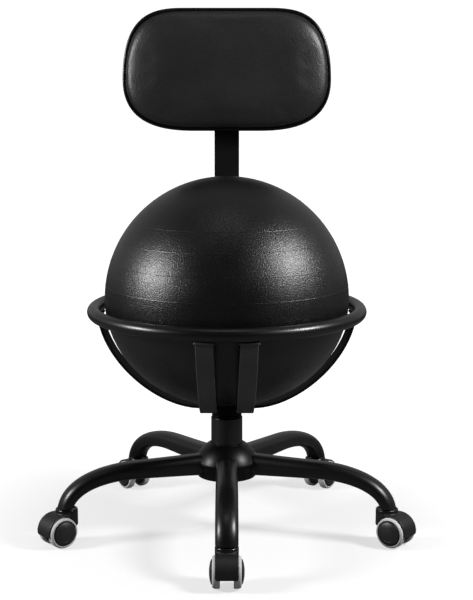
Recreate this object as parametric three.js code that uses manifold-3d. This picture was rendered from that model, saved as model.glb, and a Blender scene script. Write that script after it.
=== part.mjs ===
// Balance ball chair: a five-armed caster base, a swivelling cradle of ring and straps that
// holds an inflated ball, and a backrest on an upright bar that slides in a clamp.
// Units are millimetres and +Z is up. The sitter faces -Y, and the backrest stands at +Y.

import * as THREE from 'three';
import { mergeVertices } from 'three/addons/utils/BufferGeometryUtils.js';
import Module from 'manifold-3d';

const wasm = await Module();
wasm.setup();

// Clearances and allowances that every piece shares.
const SEAT_GAP = 0.3; // between pieces that rest on or are fixed to each other
const CUT_OVERRUN = 20; // how far a cutting solid runs past the material
const MERGE_DISTANCE = 0.001;
const QUARTER_TURN = Math.PI / 2;
const FULL_TURN = 2 * Math.PI;

// Casters: twin wheels under a hood that swivels on a stem.
const WHEEL_RADIUS = 29;
const TYRE_INNER_SIDE = 12; // from the caster's middle plane
const TYRE_WIDTH = 13.5;
const TYRE_THICKNESS = 5;
const TYRE_CHAMFER = 2;
const WHEEL_CAP_RADIUS = 22;
const WHEEL_CAP_RISE = 5.3;
const WHEEL_CAP_EDGE = 1.2;
const WHEEL_BOSS_RADIUS = 8;
const AXLE_RADIUS = 3;
const AXLE_DEPTH_IN_WHEEL = 12;
const CASTER_TRAIL = 20;
const HOOD_HALF_WIDTH = 20.5;
const HOOD_WALL = 1.8;
const HOOD_TYRE_CLEARANCE = 1.5;
const HOOD_SKIRT_DROP = 6; // from the axle down to the hood's lower edge
const HOOD_FRONT_RISE = 9; // from the axle up to where the neck's front slopes back
const HOOD_WEB_HALF_WIDTH = 9;
const HOOD_NECK_RADIUS = 21;
const HOOD_NECK_RISE = 7.7; // above the round back of the hood
const HOOD_NECK_ROUNDING = 1.6;
const HOOD_RECESS_RADIUS = 17;
const HOOD_RECESS_DEPTH = 2.6;
const STEM_RADIUS = 5.5;
const STEM_DEPTH_IN_HOOD = 18;
const STEM_DEPTH_IN_ARM = 19;
const STEM_WASHER_RADIUS = 9;
const STEM_WASHER_THICKNESS = 2;
const WHEEL_SIDES = 16;
const HOOD_ARC_STEPS = 8;
const STEM_SIDES = 10;

const HOOD_WELL_RADIUS = WHEEL_RADIUS + HOOD_TYRE_CLEARANCE;
const HOOD_OUTER_RADIUS = HOOD_WELL_RADIUS + HOOD_WALL;
const HOOD_LOWER_EDGE = WHEEL_RADIUS - HOOD_SKIRT_DROP;
const HOOD_NECK_TOP = WHEEL_RADIUS + HOOD_OUTER_RADIUS + HOOD_NECK_RISE;
const STEM_BOTTOM = HOOD_NECK_TOP - STEM_DEPTH_IN_HOOD;

// Base: five bent oval tubes round a domed hub.
const STEM_CIRCLE_RADIUS = 315;
const ARM_HOOD_GAP = 2;
const ARM_END_OVERHANG = 2; // of the arm's centre line, past its stem
const ARM_RISE = 60; // from the arm's cut end up to its straight run
const ARM_BEND_LENGTH = 137; // along the floor, from the straight run to the stem
const ARM_BEND_REACH = 70; // handle of the bend where it leaves the straight run
const ARM_END_REACH = 42; // handle of the bend where it comes down on the caster
const ARM_END_SLOPE = THREE.MathUtils.degToRad(74);
const ARM_END_RUN = 14; // spare length below the cut end
const ARM_ROOT_INSET = 12; // how far the arm starts inside the hub's side, before it is cut
const ARM_ROOT_WIDTH = 41;
const ARM_ROOT_DEPTH = 43;
const ARM_END_WIDTH = 41;
const ARM_END_DEPTH = 28;
const ARM_DEPTH_TAPER_POWER = 0.65; // below 1, the arm slims early on
const ARM_WALL = 2.2;
const ARM_SOLID_SHARE = 0.2; // of the arm, at its end, left solid round the stem
const ARM_SQUARENESS = 2.7;
const ARM_SIDES = 12;
const ARM_BORE_SIDES = 8;
const ARM_STRAIGHT_STEPS = 2;
const ARM_BEND_STEPS = 9;

const HUB_RADIUS = 56;
const HUB_SKIRT_DEPTH = 25.5; // below the arms' centre line
const HUB_DOME_FOOT_DEPTH = 8; // where the skirt meets the dome, below the arms' centre line
const HUB_LIP_REACH = 5.4; // the dome's lower edge stands out from the skirt
const HUB_LIP_DEPTH = 2; // below the arms' centre line
const HUB_DOME_RADIUS = 67;
const HUB_DOME_MIDDLE_DEPTH = 19; // below the arms' centre line
const HUB_DOME_START_ANGLE = THREE.MathUtils.degToRad(21);
const HUB_DOME_END_ANGLE = THREE.MathUtils.degToRad(60);
const HUB_DOME_STEPS = 5;
const HUB_WALL = 4;
const HUB_POCKET_SHOULDER_RISE = 11; // above the arms' centre line
const HUB_SIDES = 40;
const HUB_COVER_THICKNESS = 3;

const ARM_END_RADIUS = STEM_CIRCLE_RADIUS + ARM_END_OVERHANG;
const ARM_END_HEIGHT = HOOD_NECK_TOP + ARM_HOOD_GAP;
const ARM_ROOT_HEIGHT = ARM_END_HEIGHT + ARM_RISE;
const ARM_BEND_START = STEM_CIRCLE_RADIUS - ARM_BEND_LENGTH;
const SOCKET_BORE_TOP = ARM_END_HEIGHT + STEM_DEPTH_IN_ARM;
const HUB_BOTTOM = ARM_ROOT_HEIGHT - HUB_SKIRT_DEPTH;
const HUB_DOME_FOOT = ARM_ROOT_HEIGHT - HUB_DOME_FOOT_DEPTH;
const HUB_LIP = ARM_ROOT_HEIGHT - HUB_LIP_DEPTH;
const HUB_DOME_MIDDLE = ARM_ROOT_HEIGHT - HUB_DOME_MIDDLE_DEPTH;
const HUB_TOP = HUB_DOME_MIDDLE + HUB_DOME_RADIUS * Math.sin(HUB_DOME_END_ANGLE);
const HUB_POCKET_SHOULDER = ARM_ROOT_HEIGHT + HUB_POCKET_SHOULDER_RISE;

// Column: a fixed sleeve with the swivel spindle and its bearings inside.
const SLEEVE_RADIUS = 30;
const SLEEVE_BORE_RADIUS = 24;
const SLEEVE_LIFT = 5.5; // above the hub's underside cover
const SLEEVE_LENGTH = 107;
const BEARING_SEAT_RADIUS = 26.5;
const BEARING_HEIGHT = 9;
const SPINDLE_RADIUS = 12.5;
const SPINDLE_LIFT = 2; // above the sleeve's lower end
const SPINDLE_CAP_RADIUS = 28.5;
const SPINDLE_CAP_HEIGHT = 20.3;
const SPINDLE_CAP_GROOVE_DEPTH = 1;
const SPINDLE_CAP_GROOVE_HEIGHT = 2;
const SPINDLE_CAP_GROOVE_RISE = 4;
const CLIP_THICKNESS = 2.4;
const CLIP_RADIUS = 18;
const CLIP_RISE = 3;
const BUSH_HEIGHT = 16;
const COLUMN_SIDES = 24;

const SLEEVE_BOTTOM = HUB_BOTTOM + HUB_COVER_THICKNESS + SLEEVE_LIFT;
const SLEEVE_TOP = SLEEVE_BOTTOM + SLEEVE_LENGTH;
const SPINDLE_BOTTOM = SLEEVE_BOTTOM + SPINDLE_LIFT;
const SPINDLE_CAP_BOTTOM = SLEEVE_TOP + 2 * SEAT_GAP;
const SPINDLE_CAP_TOP = SPINDLE_CAP_BOTTOM + SPINDLE_CAP_HEIGHT;

// Cradle plate and the ball, which is pressed flat where it stands on the plate.
const PLATE_THICKNESS = 10;
const PLATE_CORNER_RADIUS = 14;
const PLATE_CORNER_STEPS = 4;
const PLATE_EDGE_MARGIN = 3; // from the plate's edge to where the straps start to rise
const BALL_RADIUS = 230;
const BALL_UPPER_HEIGHT = 230;
const BALL_LOWER_HEIGHT = 203; // of the whole lower half, were it not pressed flat
const BALL_PRESS_DEPTH = 5.5; // how far the ball's underside is pressed flat
const BALL_WALL = 3;
const BALL_STEPS = 18;
const BALL_SIDES = 36;
const BALL_INSIDE_STEPS = 12;
const BALL_INSIDE_SIDES = 24;
const PLUG_FLANGE_RADIUS = 8;
const PLUG_FLANGE_THICKNESS = 2;
const PLUG_STEM_RADIUS = 4.5;
const PLUG_STEM_LENGTH = 14;
const PLUG_SINK = 1.2; // how deep the flange lies in the ball's skin
const PLUG_AZIMUTH = THREE.MathUtils.degToRad(145);
const PLUG_DROP = 55; // below the ball's widest height
const PLUG_SIDES = 14;

const PLATE_BOTTOM = SPINDLE_CAP_TOP + SEAT_GAP;
const PLATE_TOP = PLATE_BOTTOM + PLATE_THICKNESS;
const BALL_FLAT_HEIGHT = PLATE_TOP + SEAT_GAP;
const BALL_SEAT_HEIGHT = BALL_LOWER_HEIGHT - BALL_PRESS_DEPTH;
const BALL_WIDEST_HEIGHT = BALL_FLAT_HEIGHT + BALL_SEAT_HEIGHT;

// Ring and flat straps.
const RING_BALL_GAP = 8.5;
const RING_TUBE_RADIUS = 12.5;
const RING_DROP = 22; // below the ball's widest height
const RING_WALL = 3;
const RING_VENT_RADIUS = 2; // of the small hole that vents the closed tube, under its back
const RING_SIDES = 52;
const RING_TUBE_SIDES = 10;
const RING_BORE_SIDES = 26;
const RING_BORE_TUBE_SIDES = 6;
const RING_VENT_SIDES = 8;
const STRAP_WIDTH = 32;
const STRAP_THICKNESS = 5;
const STRAP_CAP_GAP = 4; // from the spindle's cap to the straps' inner ends
const STRAP_FLAT_LENGTH = 22.5;
const FRONT_STRAP_FLAT_LENGTH = 9.5;
const STRAP_LOWER_REACH_SHARE = 0.45; // handle of the bend, of the strap's run outwards
const STRAP_UPPER_REACH_SHARE = 0.52; // handle of the bend, of the strap's rise
const STRAP_UPPER_LEAN = THREE.MathUtils.degToRad(1); // outwards on the way down from the ring
const STRAP_STEPS = 12;
const FRONT_STRAP_OFFSET = 34; // sideways, at the plate
const FRONT_STRAP_SPREAD = 6; // how much further out each stands at the ring
const SIDE_STRAP_AZIMUTH = THREE.MathUtils.degToRad(103);

const RING_RADIUS = BALL_RADIUS + RING_BALL_GAP + RING_TUBE_RADIUS;
const RING_HEIGHT = BALL_WIDEST_HEIGHT - RING_DROP;
const STRAP_TOP = PLATE_BOTTOM - SEAT_GAP;
const STRAP_BOTTOM = STRAP_TOP - STRAP_THICKNESS;
const STRAP_INNER_END = SPINDLE_CAP_RADIUS + STRAP_CAP_GAP;
const STRAP_FLAT_END = STRAP_INNER_END + STRAP_FLAT_LENGTH;
const FRONT_STRAP_FLAT_END = STRAP_INNER_END + FRONT_STRAP_FLAT_LENGTH;
const PLATE_SIDE_AND_REAR_EDGE = STRAP_FLAT_END - PLATE_EDGE_MARGIN;
const PLATE_FRONT_EDGE = FRONT_STRAP_FLAT_END - PLATE_EDGE_MARGIN;

// Rear support: a wider strap that passes behind the ring and carries the bar's clamp.
const SUPPORT_WIDTH = 50;
const SUPPORT_LOWER_REACH_SHARE = 0.468;
const SUPPORT_UPPER_REACH_SHARE = 0.56;
const SUPPORT_BEND_DROP = 30; // from the ring down to where the support stands upright
const CLAMP_RISE = 14; // above the ring
const CLAMP_HEIGHT = 70;
const CLAMP_WALL = 3;
const CLAMP_NUT_RADIUS = 9;
const CLAMP_NUT_LENGTH = 8;
const CLAMP_NUT_SIDES = 6;
const KNOB_STUD_RADIUS = 4;
const KNOB_RADIUS = 19;
const KNOB_LOBE_DEPTH = 2.6;
const KNOB_LOBES = 6;
const KNOB_THICKNESS = 17;
const KNOB_BEVEL = 2;
const KNOB_SIDES = 30;

const SUPPORT_BEND_TOP = RING_HEIGHT - SUPPORT_BEND_DROP;
const CLAMP_BOTTOM = RING_HEIGHT + CLAMP_RISE;
const CLAMP_TOP = CLAMP_BOTTOM + CLAMP_HEIGHT;
const KNOB_HEIGHT = (CLAMP_BOTTOM + CLAMP_TOP) / 2;

// Backrest and its bar.
const BAR_WIDTH = 50;
const BAR_THICKNESS = 6;
const BAR_SLIDE_GAP = 0.4;
const BAR_TAIL = 56; // below the clamp
const BAR_LENGTH = 519;
const BACKREST_BAR_OVERLAP = 155.5; // how far the bar runs up behind the backrest
const BACKREST_HALF_WIDTH = 207;
const BACKREST_HEIGHT = 241.5;
const BACKREST_WIDEST_RISE = 100.5; // above the backrest's lower edge
// Each corner starts after a flat run, given as a share of the half width, and is one curve.
const UPPER_CORNER = { flatShare: 0.38, edgeHandleShare: 0.43, sideHandleShare: 1 };
const LOWER_CORNER = { flatShare: 0.3, edgeHandleShare: 0.35, sideHandleShare: 0.96 };
const SHELL_THICKNESS = 12;
const SHELL_BEVEL = 5;
const SHELL_RIM_WIDTH = 7;
const SHELL_RIM_DEPTH = 28; // how far the rim stands forward of the shell's panel
const SHELL_BOSS_WIDTH = 62;
const SHELL_BOSS_RISE = 18; // above the backrest's lower edge
const SHELL_BOSS_PAST_BAR = 15;
const SHELL_BOSS_DEPTH = 6;
const CUSHION_THICKNESS = 52;
const CUSHION_SIDE_DEPTH = 30; // of the side, before the crown starts
const CUSHION_DRAW_IN = 2;
const CUSHION_CROWN_RUN = 70; // inwards, from the side to where the crown is flat
const CUSHION_CROWN_RUN_SHARES = [0, 0.1, 0.25, 0.45, 0.7, 1];
const CUSHION_CROWN_RISE_SHARES = [0, 0.19, 0.44, 0.7, 0.91, 1]; // in step with the run's
const OUTLINE_STEPS = 12;

const BAR_BOTTOM = CLAMP_BOTTOM - BAR_TAIL;
const BAR_TOP = BAR_BOTTOM + BAR_LENGTH;
const BACKREST_BOTTOM = BAR_TOP - BACKREST_BAR_OVERLAP;
const BACKREST_TOP = BACKREST_BOTTOM + BACKREST_HEIGHT;
const BACKREST_WIDEST_HEIGHT = BACKREST_BOTTOM + BACKREST_WIDEST_RISE;

// Colours and finishes, as seen.
const FINISHES = {
  powderCoat: { color: 0x141416, roughness: 0.32, metalness: 0.2 },
  satinSteel: { color: 0x1c1c1e, roughness: 0.45, metalness: 0.3 },
  blackNylon: { color: 0x19191b, roughness: 0.6, metalness: 0 },
  greyTyre: { color: 0xc4c4c4, roughness: 0.55, metalness: 0 },
  zincSteel: { color: 0xb4b6b8, roughness: 0.35, metalness: 1 },
  ballSkin: { color: 0x161617, roughness: 0.5, metalness: 0 },
  leatherette: { color: 0x212123, roughness: 0.45, metalness: 0 },
};

const chair = new THREE.Group();

// Merges shared corners, drops faces of no area and turns the faces outwards.
function closedGeometry(geometry) {
  const bare = geometry.clone();
  bare.deleteAttribute('normal');
  bare.deleteAttribute('uv');
  const merged = mergeVertices(bare, MERGE_DISTANCE);
  const positions = merged.attributes.position;
  const corners = Array.from(merged.index.array);
  const kept = [];
  const [a, b, c] = [new THREE.Vector3(), new THREE.Vector3(), new THREE.Vector3()];
  let volume = 0;
  for (let i = 0; i < corners.length; i += 3) {
    const [p, q, r] = corners.slice(i, i + 3);
    if (p === q || q === r || r === p) continue;
    kept.push([p, q, r]);
    a.fromBufferAttribute(positions, p);
    b.fromBufferAttribute(positions, q);
    c.fromBufferAttribute(positions, r);
    volume += a.dot(b.cross(c));
  }
  merged.setIndex(kept.flatMap(([p, q, r]) => (volume < 0 ? [p, r, q] : [p, q, r])));
  return merged;
}

function solidOf(geometry) {
  const closed = closedGeometry(geometry);
  const mesh = new wasm.Mesh({
    numProp: 3,
    vertProperties: new Float32Array(closed.attributes.position.array),
    triVerts: new Uint32Array(closed.index.array),
  });
  return new wasm.Manifold(mesh);
}

function geometryOf(solid) {
  const mesh = solid.getMesh();
  const geometry = new THREE.BufferGeometry();
  geometry.setAttribute('position', new THREE.BufferAttribute(new Float32Array(mesh.vertProperties), 3));
  geometry.setIndex(Array.from(mesh.triVerts));
  return geometry;
}

function joined(...geometries) {
  return geometryOf(geometries.map(solidOf).reduce((whole, piece) => whole.add(piece)));
}

function cut(geometry, ...tools) {
  return geometryOf(tools.map(solidOf).reduce((whole, tool) => whole.subtract(tool), solidOf(geometry)));
}

function addPiece(name, geometry, finish, parent = chair) {
  const closed = closedGeometry(geometry);
  closed.computeVertexNormals();
  const mesh = new THREE.Mesh(closed, new THREE.MeshStandardMaterial(FINISHES[finish]));
  mesh.name = name;
  parent.add(mesh);
  return mesh;
}

// A solid turned round the Z axis from a profile of [radius, height] pairs.
function turned(profile, sides) {
  const points = profile.map(([radius, height]) => new THREE.Vector2(radius, height));
  return new THREE.LatheGeometry(points, sides).rotateX(QUARTER_TURN);
}

// A hollow turned solid: the profile closes on itself and stays off the axis.
function turnedRing(innerRadius, outerRadius, bottom, top, sides) {
  const profile = [[innerRadius, bottom], [outerRadius, bottom], [outerRadius, top],
    [innerRadius, top], [innerRadius, bottom]];
  return turned(profile, sides);
}

function cylinder(radius, bottom, top, sides) {
  return turned([[0, bottom], [radius, bottom], [radius, top], [0, top]], sides);
}

function block(width, depth, height, x, y, z) {
  return new THREE.BoxGeometry(width, depth, height).translate(x, y, z);
}

// A closed skin over rings of points that all have the same count.
function loft(rings) {
  const count = rings[0].length;
  const points = rings.flat();
  const index = [];
  rings.slice(1).forEach((_, row) => {
    for (let k = 0; k < count; k += 1) {
      const next = (k + 1) % count;
      const [a, b] = [row * count + k, row * count + next];
      const [c, d] = [a + count, b + count];
      index.push(a, b, d, a, d, c);
    }
  });
  [rings[0], rings.at(-1)].forEach((ring, end) => {
    const middle = ring.reduce((sum, point) => sum.add(point), new THREE.Vector3()).divideScalar(count);
    const start = end === 0 ? 0 : (rings.length - 1) * count;
    points.push(middle);
    for (let k = 0; k < count; k += 1) {
      const [a, b] = [start + k, start + ((k + 1) % count)];
      index.push(...(end === 0 ? [points.length - 1, b, a] : [points.length - 1, a, b]));
    }
  });
  const geometry = new THREE.BufferGeometry().setFromPoints(points);
  geometry.setIndex(index);
  return geometry;
}

// Base hub: a domed shell with a socket tube for the column, open underneath.
function hubOuterProfile(grow) {
  const profile = [
    [HUB_RADIUS + grow, HUB_BOTTOM - grow],
    [HUB_RADIUS + grow, HUB_DOME_FOOT - grow],
    [HUB_RADIUS + HUB_LIP_REACH + grow, HUB_LIP - grow],
  ];
  for (let step = 0; step <= HUB_DOME_STEPS; step += 1) {
    const angle = THREE.MathUtils.lerp(
      HUB_DOME_START_ANGLE,
      HUB_DOME_END_ANGLE,
      step / HUB_DOME_STEPS,
    );
    profile.push([
      HUB_DOME_RADIUS * Math.cos(angle) + grow,
      HUB_DOME_MIDDLE + HUB_DOME_RADIUS * Math.sin(angle) + grow,
    ]);
  }
  return profile;
}

function hubEnvelope(grow) {
  const profile = hubOuterProfile(grow);
  return turned([[0, HUB_BOTTOM - grow], ...profile, [0, HUB_TOP + grow]], HUB_SIDES);
}

function makeHub() {
  const innerRadius = SLEEVE_RADIUS + SEAT_GAP;
  const pocketInner = innerRadius + HUB_WALL;
  const pocketOuter = HUB_RADIUS - HUB_WALL;
  const pocket = turned([
    [pocketInner, HUB_BOTTOM - CUT_OVERRUN],
    [pocketOuter, HUB_BOTTOM - CUT_OVERRUN],
    [pocketOuter, HUB_POCKET_SHOULDER],
    [pocketInner + HUB_WALL, HUB_TOP - 2 * HUB_WALL],
    [pocketInner, HUB_TOP - 2 * HUB_WALL],
    [pocketInner, HUB_BOTTOM - CUT_OVERRUN],
  ], HUB_SIDES);
  const bore = cylinder(innerRadius, HUB_BOTTOM - CUT_OVERRUN, HUB_TOP + CUT_OVERRUN, COLUMN_SIDES);
  const coverTop = HUB_BOTTOM + HUB_COVER_THICKNESS;
  const coverSeat = cylinder(pocketOuter, HUB_BOTTOM - CUT_OVERRUN, coverTop + SEAT_GAP, HUB_SIDES);
  addPiece('base_hub', cut(hubEnvelope(0), pocket, bore, coverSeat), 'powderCoat');
  const coverRadius = pocketOuter - SEAT_GAP;
  const cover = cylinder(coverRadius, HUB_BOTTOM, coverTop, HUB_SIDES);
  addPiece('hub_underside_cover', cover, 'blackNylon');
}

// Arm: a tube whose oval section shrinks towards the caster. It is drawn as the front arm.
function armStations() {
  const handle = new THREE.Vector2(Math.cos(ARM_END_SLOPE), -Math.sin(ARM_END_SLOPE));
  const end = new THREE.Vector2(ARM_END_RADIUS, ARM_END_HEIGHT);
  const start = new THREE.Vector2(ARM_BEND_START, ARM_ROOT_HEIGHT);
  const bend = new THREE.CubicBezierCurve(
    start,
    new THREE.Vector2(ARM_BEND_START + ARM_BEND_REACH, ARM_ROOT_HEIGHT),
    end.clone().addScaledVector(handle, -ARM_END_REACH),
    end,
  );
  const rootStart = HUB_RADIUS - ARM_ROOT_INSET;
  const stations = [];
  for (let step = 0; step < ARM_STRAIGHT_STEPS; step += 1) {
    const radius = THREE.MathUtils.lerp(rootStart, ARM_BEND_START, step / ARM_STRAIGHT_STEPS);
    stations.push({ centre: new THREE.Vector2(radius, ARM_ROOT_HEIGHT), along: new THREE.Vector2(1, 0) });
  }
  for (let step = 0; step <= ARM_BEND_STEPS; step += 1) {
    const share = step / ARM_BEND_STEPS;
    stations.push({ centre: bend.getPointAt(share), along: bend.getTangentAt(share) });
  }
  stations.push({ centre: end.clone().addScaledVector(handle, ARM_END_RUN), along: handle });
  let length = 0;
  stations.forEach((station, i) => {
    if (i > 0) length += station.centre.distanceTo(stations[i - 1].centre);
    station.travelled = length;
  });
  const whole = stations.at(-2).travelled;
  stations.forEach((station) => { station.share = Math.min(station.travelled / whole, 1); });
  return stations;
}

function armRing({ centre, along, share }, inset, sides) {
  const halfWidth = THREE.MathUtils.lerp(ARM_ROOT_WIDTH, ARM_END_WIDTH, share) / 2 - inset;
  const depthShare = share ** ARM_DEPTH_TAPER_POWER;
  const halfDepth = THREE.MathUtils.lerp(ARM_ROOT_DEPTH, ARM_END_DEPTH, depthShare) / 2 - inset;
  const oval = (value, half) => Math.sign(value) * Math.abs(value) ** (2 / ARM_SQUARENESS) * half;
  return Array.from({ length: sides }, (_, k) => {
    const angle = (k / sides) * FULL_TURN;
    const sideways = oval(Math.cos(angle), halfWidth);
    const upwards = oval(Math.sin(angle), halfDepth);
    const outward = centre.x - along.y * upwards;
    return new THREE.Vector3(sideways, -outward, centre.y + along.x * upwards);
  });
}

function armGeometry() {
  const stations = armStations();
  const outer = loft(stations.map((station) => armRing(station, 0, ARM_SIDES)));
  const hollowStations = stations.filter(({ share }) => share <= 1 - ARM_SOLID_SHARE);
  const hollow = loft(hollowStations.map((station) => armRing(station, ARM_WALL, ARM_BORE_SIDES)));
  const cutSize = 2 * ARM_END_RADIUS;
  const endCut = block(cutSize, cutSize, ARM_END_HEIGHT, 0, -ARM_END_RADIUS, ARM_END_HEIGHT / 2);
  const bore = cylinder(STEM_RADIUS + SEAT_GAP, 0, SOCKET_BORE_TOP + SEAT_GAP, STEM_SIDES)
    .translate(0, -STEM_CIRCLE_RADIUS, 0);
  return cut(outer, hollow, hubEnvelope(SEAT_GAP), endCut, bore);
}

// Column: everything here turns round the Z axis.
function makeColumn() {
  const seatFloor = SLEEVE_TOP - BEARING_HEIGHT;
  const sleeve = cut(
    turnedRing(SLEEVE_BORE_RADIUS, SLEEVE_RADIUS, SLEEVE_BOTTOM, SLEEVE_TOP, COLUMN_SIDES),
    cylinder(BEARING_SEAT_RADIUS, seatFloor, SLEEVE_TOP + CUT_OVERRUN, COLUMN_SIDES),
  );
  addPiece('column_sleeve', sleeve, 'satinSteel');

  const grooveBottom = SPINDLE_CAP_BOTTOM + SPINDLE_CAP_GROOVE_RISE;
  const grooveTop = grooveBottom + SPINDLE_CAP_GROOVE_HEIGHT;
  const grooveRadius = SPINDLE_CAP_RADIUS - SPINDLE_CAP_GROOVE_DEPTH;
  const spindle = turned([
    [0, SPINDLE_BOTTOM], [SPINDLE_RADIUS, SPINDLE_BOTTOM], [SPINDLE_RADIUS, SPINDLE_CAP_BOTTOM],
    [SPINDLE_CAP_RADIUS, SPINDLE_CAP_BOTTOM], [SPINDLE_CAP_RADIUS, grooveBottom],
    [grooveRadius, grooveBottom], [grooveRadius, grooveTop],
    [SPINDLE_CAP_RADIUS, grooveTop], [SPINDLE_CAP_RADIUS, SPINDLE_CAP_TOP], [0, SPINDLE_CAP_TOP],
  ], COLUMN_SIDES);
  addPiece('swivel_spindle', spindle, 'powderCoat');

  const runningRadius = SPINDLE_RADIUS + SEAT_GAP;
  const bearing = turnedRing(runningRadius, BEARING_SEAT_RADIUS - SEAT_GAP,
    seatFloor + SEAT_GAP, SPINDLE_CAP_BOTTOM - SEAT_GAP, COLUMN_SIDES);
  addPiece('thrust_bearing', bearing, 'zincSteel');

  const clipBottom = SPINDLE_BOTTOM + CLIP_RISE;
  const clipTop = clipBottom + CLIP_THICKNESS;
  const clip = turnedRing(runningRadius, CLIP_RADIUS, clipBottom, clipTop, COLUMN_SIDES);
  addPiece('retaining_clip', clip, 'zincSteel');
  const bush = turnedRing(runningRadius, SLEEVE_BORE_RADIUS - SEAT_GAP,
    clipTop + SEAT_GAP, clipTop + SEAT_GAP + BUSH_HEIGHT, COLUMN_SIDES);
  addPiece('lower_bush', bush, 'blackNylon');
}

// Caster pieces are drawn for the front caster: its stem on the Z axis, its wheels trailing to -Y.

// A wheel turned round the X axis and set at the caster's axle, on the +X side. It is turned
// by half a side, so that it stands on a flat one.
function wheelPlaced(profile) {
  const points = profile.map(([side, radius]) => new THREE.Vector2(radius, side));
  return new THREE.LatheGeometry(points, WHEEL_SIDES, Math.PI / WHEEL_SIDES)
    .rotateZ(-QUARTER_TURN)
    .translate(0, -CASTER_TRAIL, WHEEL_RADIUS);
}

function wheelGeometry() {
  const rimRadius = WHEEL_RADIUS - TYRE_THICKNESS;
  const outerSide = TYRE_INNER_SIDE + TYRE_WIDTH;
  const bossSide = HOOD_WEB_HALF_WIDTH + SEAT_GAP;
  const boreRadius = AXLE_RADIUS + SEAT_GAP;
  const boreEnd = HOOD_WEB_HALF_WIDTH + AXLE_DEPTH_IN_WHEEL + SEAT_GAP;
  return wheelPlaced([
    [boreEnd, 0], [boreEnd, boreRadius], [bossSide, boreRadius], [bossSide, WHEEL_BOSS_RADIUS],
    [TYRE_INNER_SIDE, WHEEL_BOSS_RADIUS], [TYRE_INNER_SIDE, rimRadius], [outerSide, rimRadius],
    [outerSide, WHEEL_CAP_RADIUS], [outerSide + WHEEL_CAP_EDGE, WHEEL_CAP_RADIUS],
    [outerSide + WHEEL_CAP_RISE, WHEEL_CAP_RADIUS / 2], [outerSide + WHEEL_CAP_RISE, 0],
  ]);
}

function tyreGeometry() {
  const seatRadius = WHEEL_RADIUS - TYRE_THICKNESS + SEAT_GAP;
  const treadRadius = WHEEL_RADIUS / Math.cos(Math.PI / WHEEL_SIDES);
  const outerSide = TYRE_INNER_SIDE + TYRE_WIDTH;
  return wheelPlaced([
    [TYRE_INNER_SIDE, seatRadius], [TYRE_INNER_SIDE, treadRadius - TYRE_CHAMFER / 2],
    [TYRE_INNER_SIDE + TYRE_CHAMFER / 2, treadRadius], [outerSide - TYRE_CHAMFER, treadRadius],
    [outerSide, treadRadius - TYRE_CHAMFER], [outerSide, seatRadius], [TYRE_INNER_SIDE, seatRadius],
  ]);
}

// The hood's side view: round over the wheels, upright at the neck.
function hoodGeometry() {
  const lowAngle = -Math.asin(HOOD_SKIRT_DROP / HOOD_OUTER_RADIUS);
  const side = new THREE.Shape();
  side.moveTo(0, HOOD_LOWER_EDGE);
  for (let step = 0; step <= HOOD_ARC_STEPS; step += 1) {
    const angle = THREE.MathUtils.lerp(lowAngle, QUARTER_TURN, step / HOOD_ARC_STEPS);
    const back = HOOD_OUTER_RADIUS * Math.cos(angle);
    side.lineTo(CASTER_TRAIL + back, WHEEL_RADIUS + HOOD_OUTER_RADIUS * Math.sin(angle));
  }
  side.lineTo(0, WHEEL_RADIUS + HOOD_OUTER_RADIUS);
  side.closePath();
  const shroud = new THREE.ExtrudeGeometry(side, { depth: 2 * HOOD_HALF_WIDTH, bevelEnabled: false })
    .translate(0, 0, -HOOD_HALF_WIDTH)
    .applyMatrix4(sideViewToFront());
  const neck = turned([
    [0, HOOD_LOWER_EDGE], [HOOD_WEB_HALF_WIDTH, HOOD_LOWER_EDGE],
    [HOOD_NECK_RADIUS, WHEEL_RADIUS + HOOD_FRONT_RISE],
    [HOOD_NECK_RADIUS, HOOD_NECK_TOP - HOOD_NECK_ROUNDING],
    [HOOD_NECK_RADIUS - HOOD_NECK_ROUNDING, HOOD_NECK_TOP], [0, HOOD_NECK_TOP],
  ], 2 * HOOD_ARC_STEPS);
  const wellLength = HOOD_HALF_WIDTH - HOOD_WEB_HALF_WIDTH + CUT_OVERRUN;
  const well = new THREE.CylinderGeometry(HOOD_WELL_RADIUS, HOOD_WELL_RADIUS, wellLength, 3 * HOOD_ARC_STEPS)
    .rotateZ(QUARTER_TURN);
  const wellOffset = HOOD_WEB_HALF_WIDTH + wellLength / 2;
  const wells = [-wellOffset, wellOffset].map((x) => well.clone().translate(x, -CASTER_TRAIL, WHEEL_RADIUS));
  const recess = cylinder(HOOD_RECESS_RADIUS, HOOD_NECK_TOP - HOOD_RECESS_DEPTH,
    HOOD_NECK_TOP + CUT_OVERRUN, 2 * HOOD_ARC_STEPS);
  const stemBore = cylinder(STEM_RADIUS + SEAT_GAP, STEM_BOTTOM - SEAT_GAP,
    HOOD_NECK_TOP + CUT_OVERRUN, STEM_SIDES);
  const axleBoreRadius = AXLE_RADIUS + SEAT_GAP;
  const axleBoreLength = 2 * (HOOD_WEB_HALF_WIDTH + CUT_OVERRUN);
  const axleBore = new THREE.CylinderGeometry(axleBoreRadius, axleBoreRadius, axleBoreLength, STEM_SIDES)
    .rotateZ(QUARTER_TURN)
    .translate(0, -CASTER_TRAIL, WHEEL_RADIUS);
  return cut(joined(shroud, neck), ...wells, recess, stemBore, axleBore);
}

// Turns a side view, drawn as [outward, up], to face along X with outward at -Y.
function sideViewToFront() {
  return new THREE.Matrix4().makeBasis(
    new THREE.Vector3(0, -1, 0),
    new THREE.Vector3(0, 0, 1),
    new THREE.Vector3(-1, 0, 0),
  );
}

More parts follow.
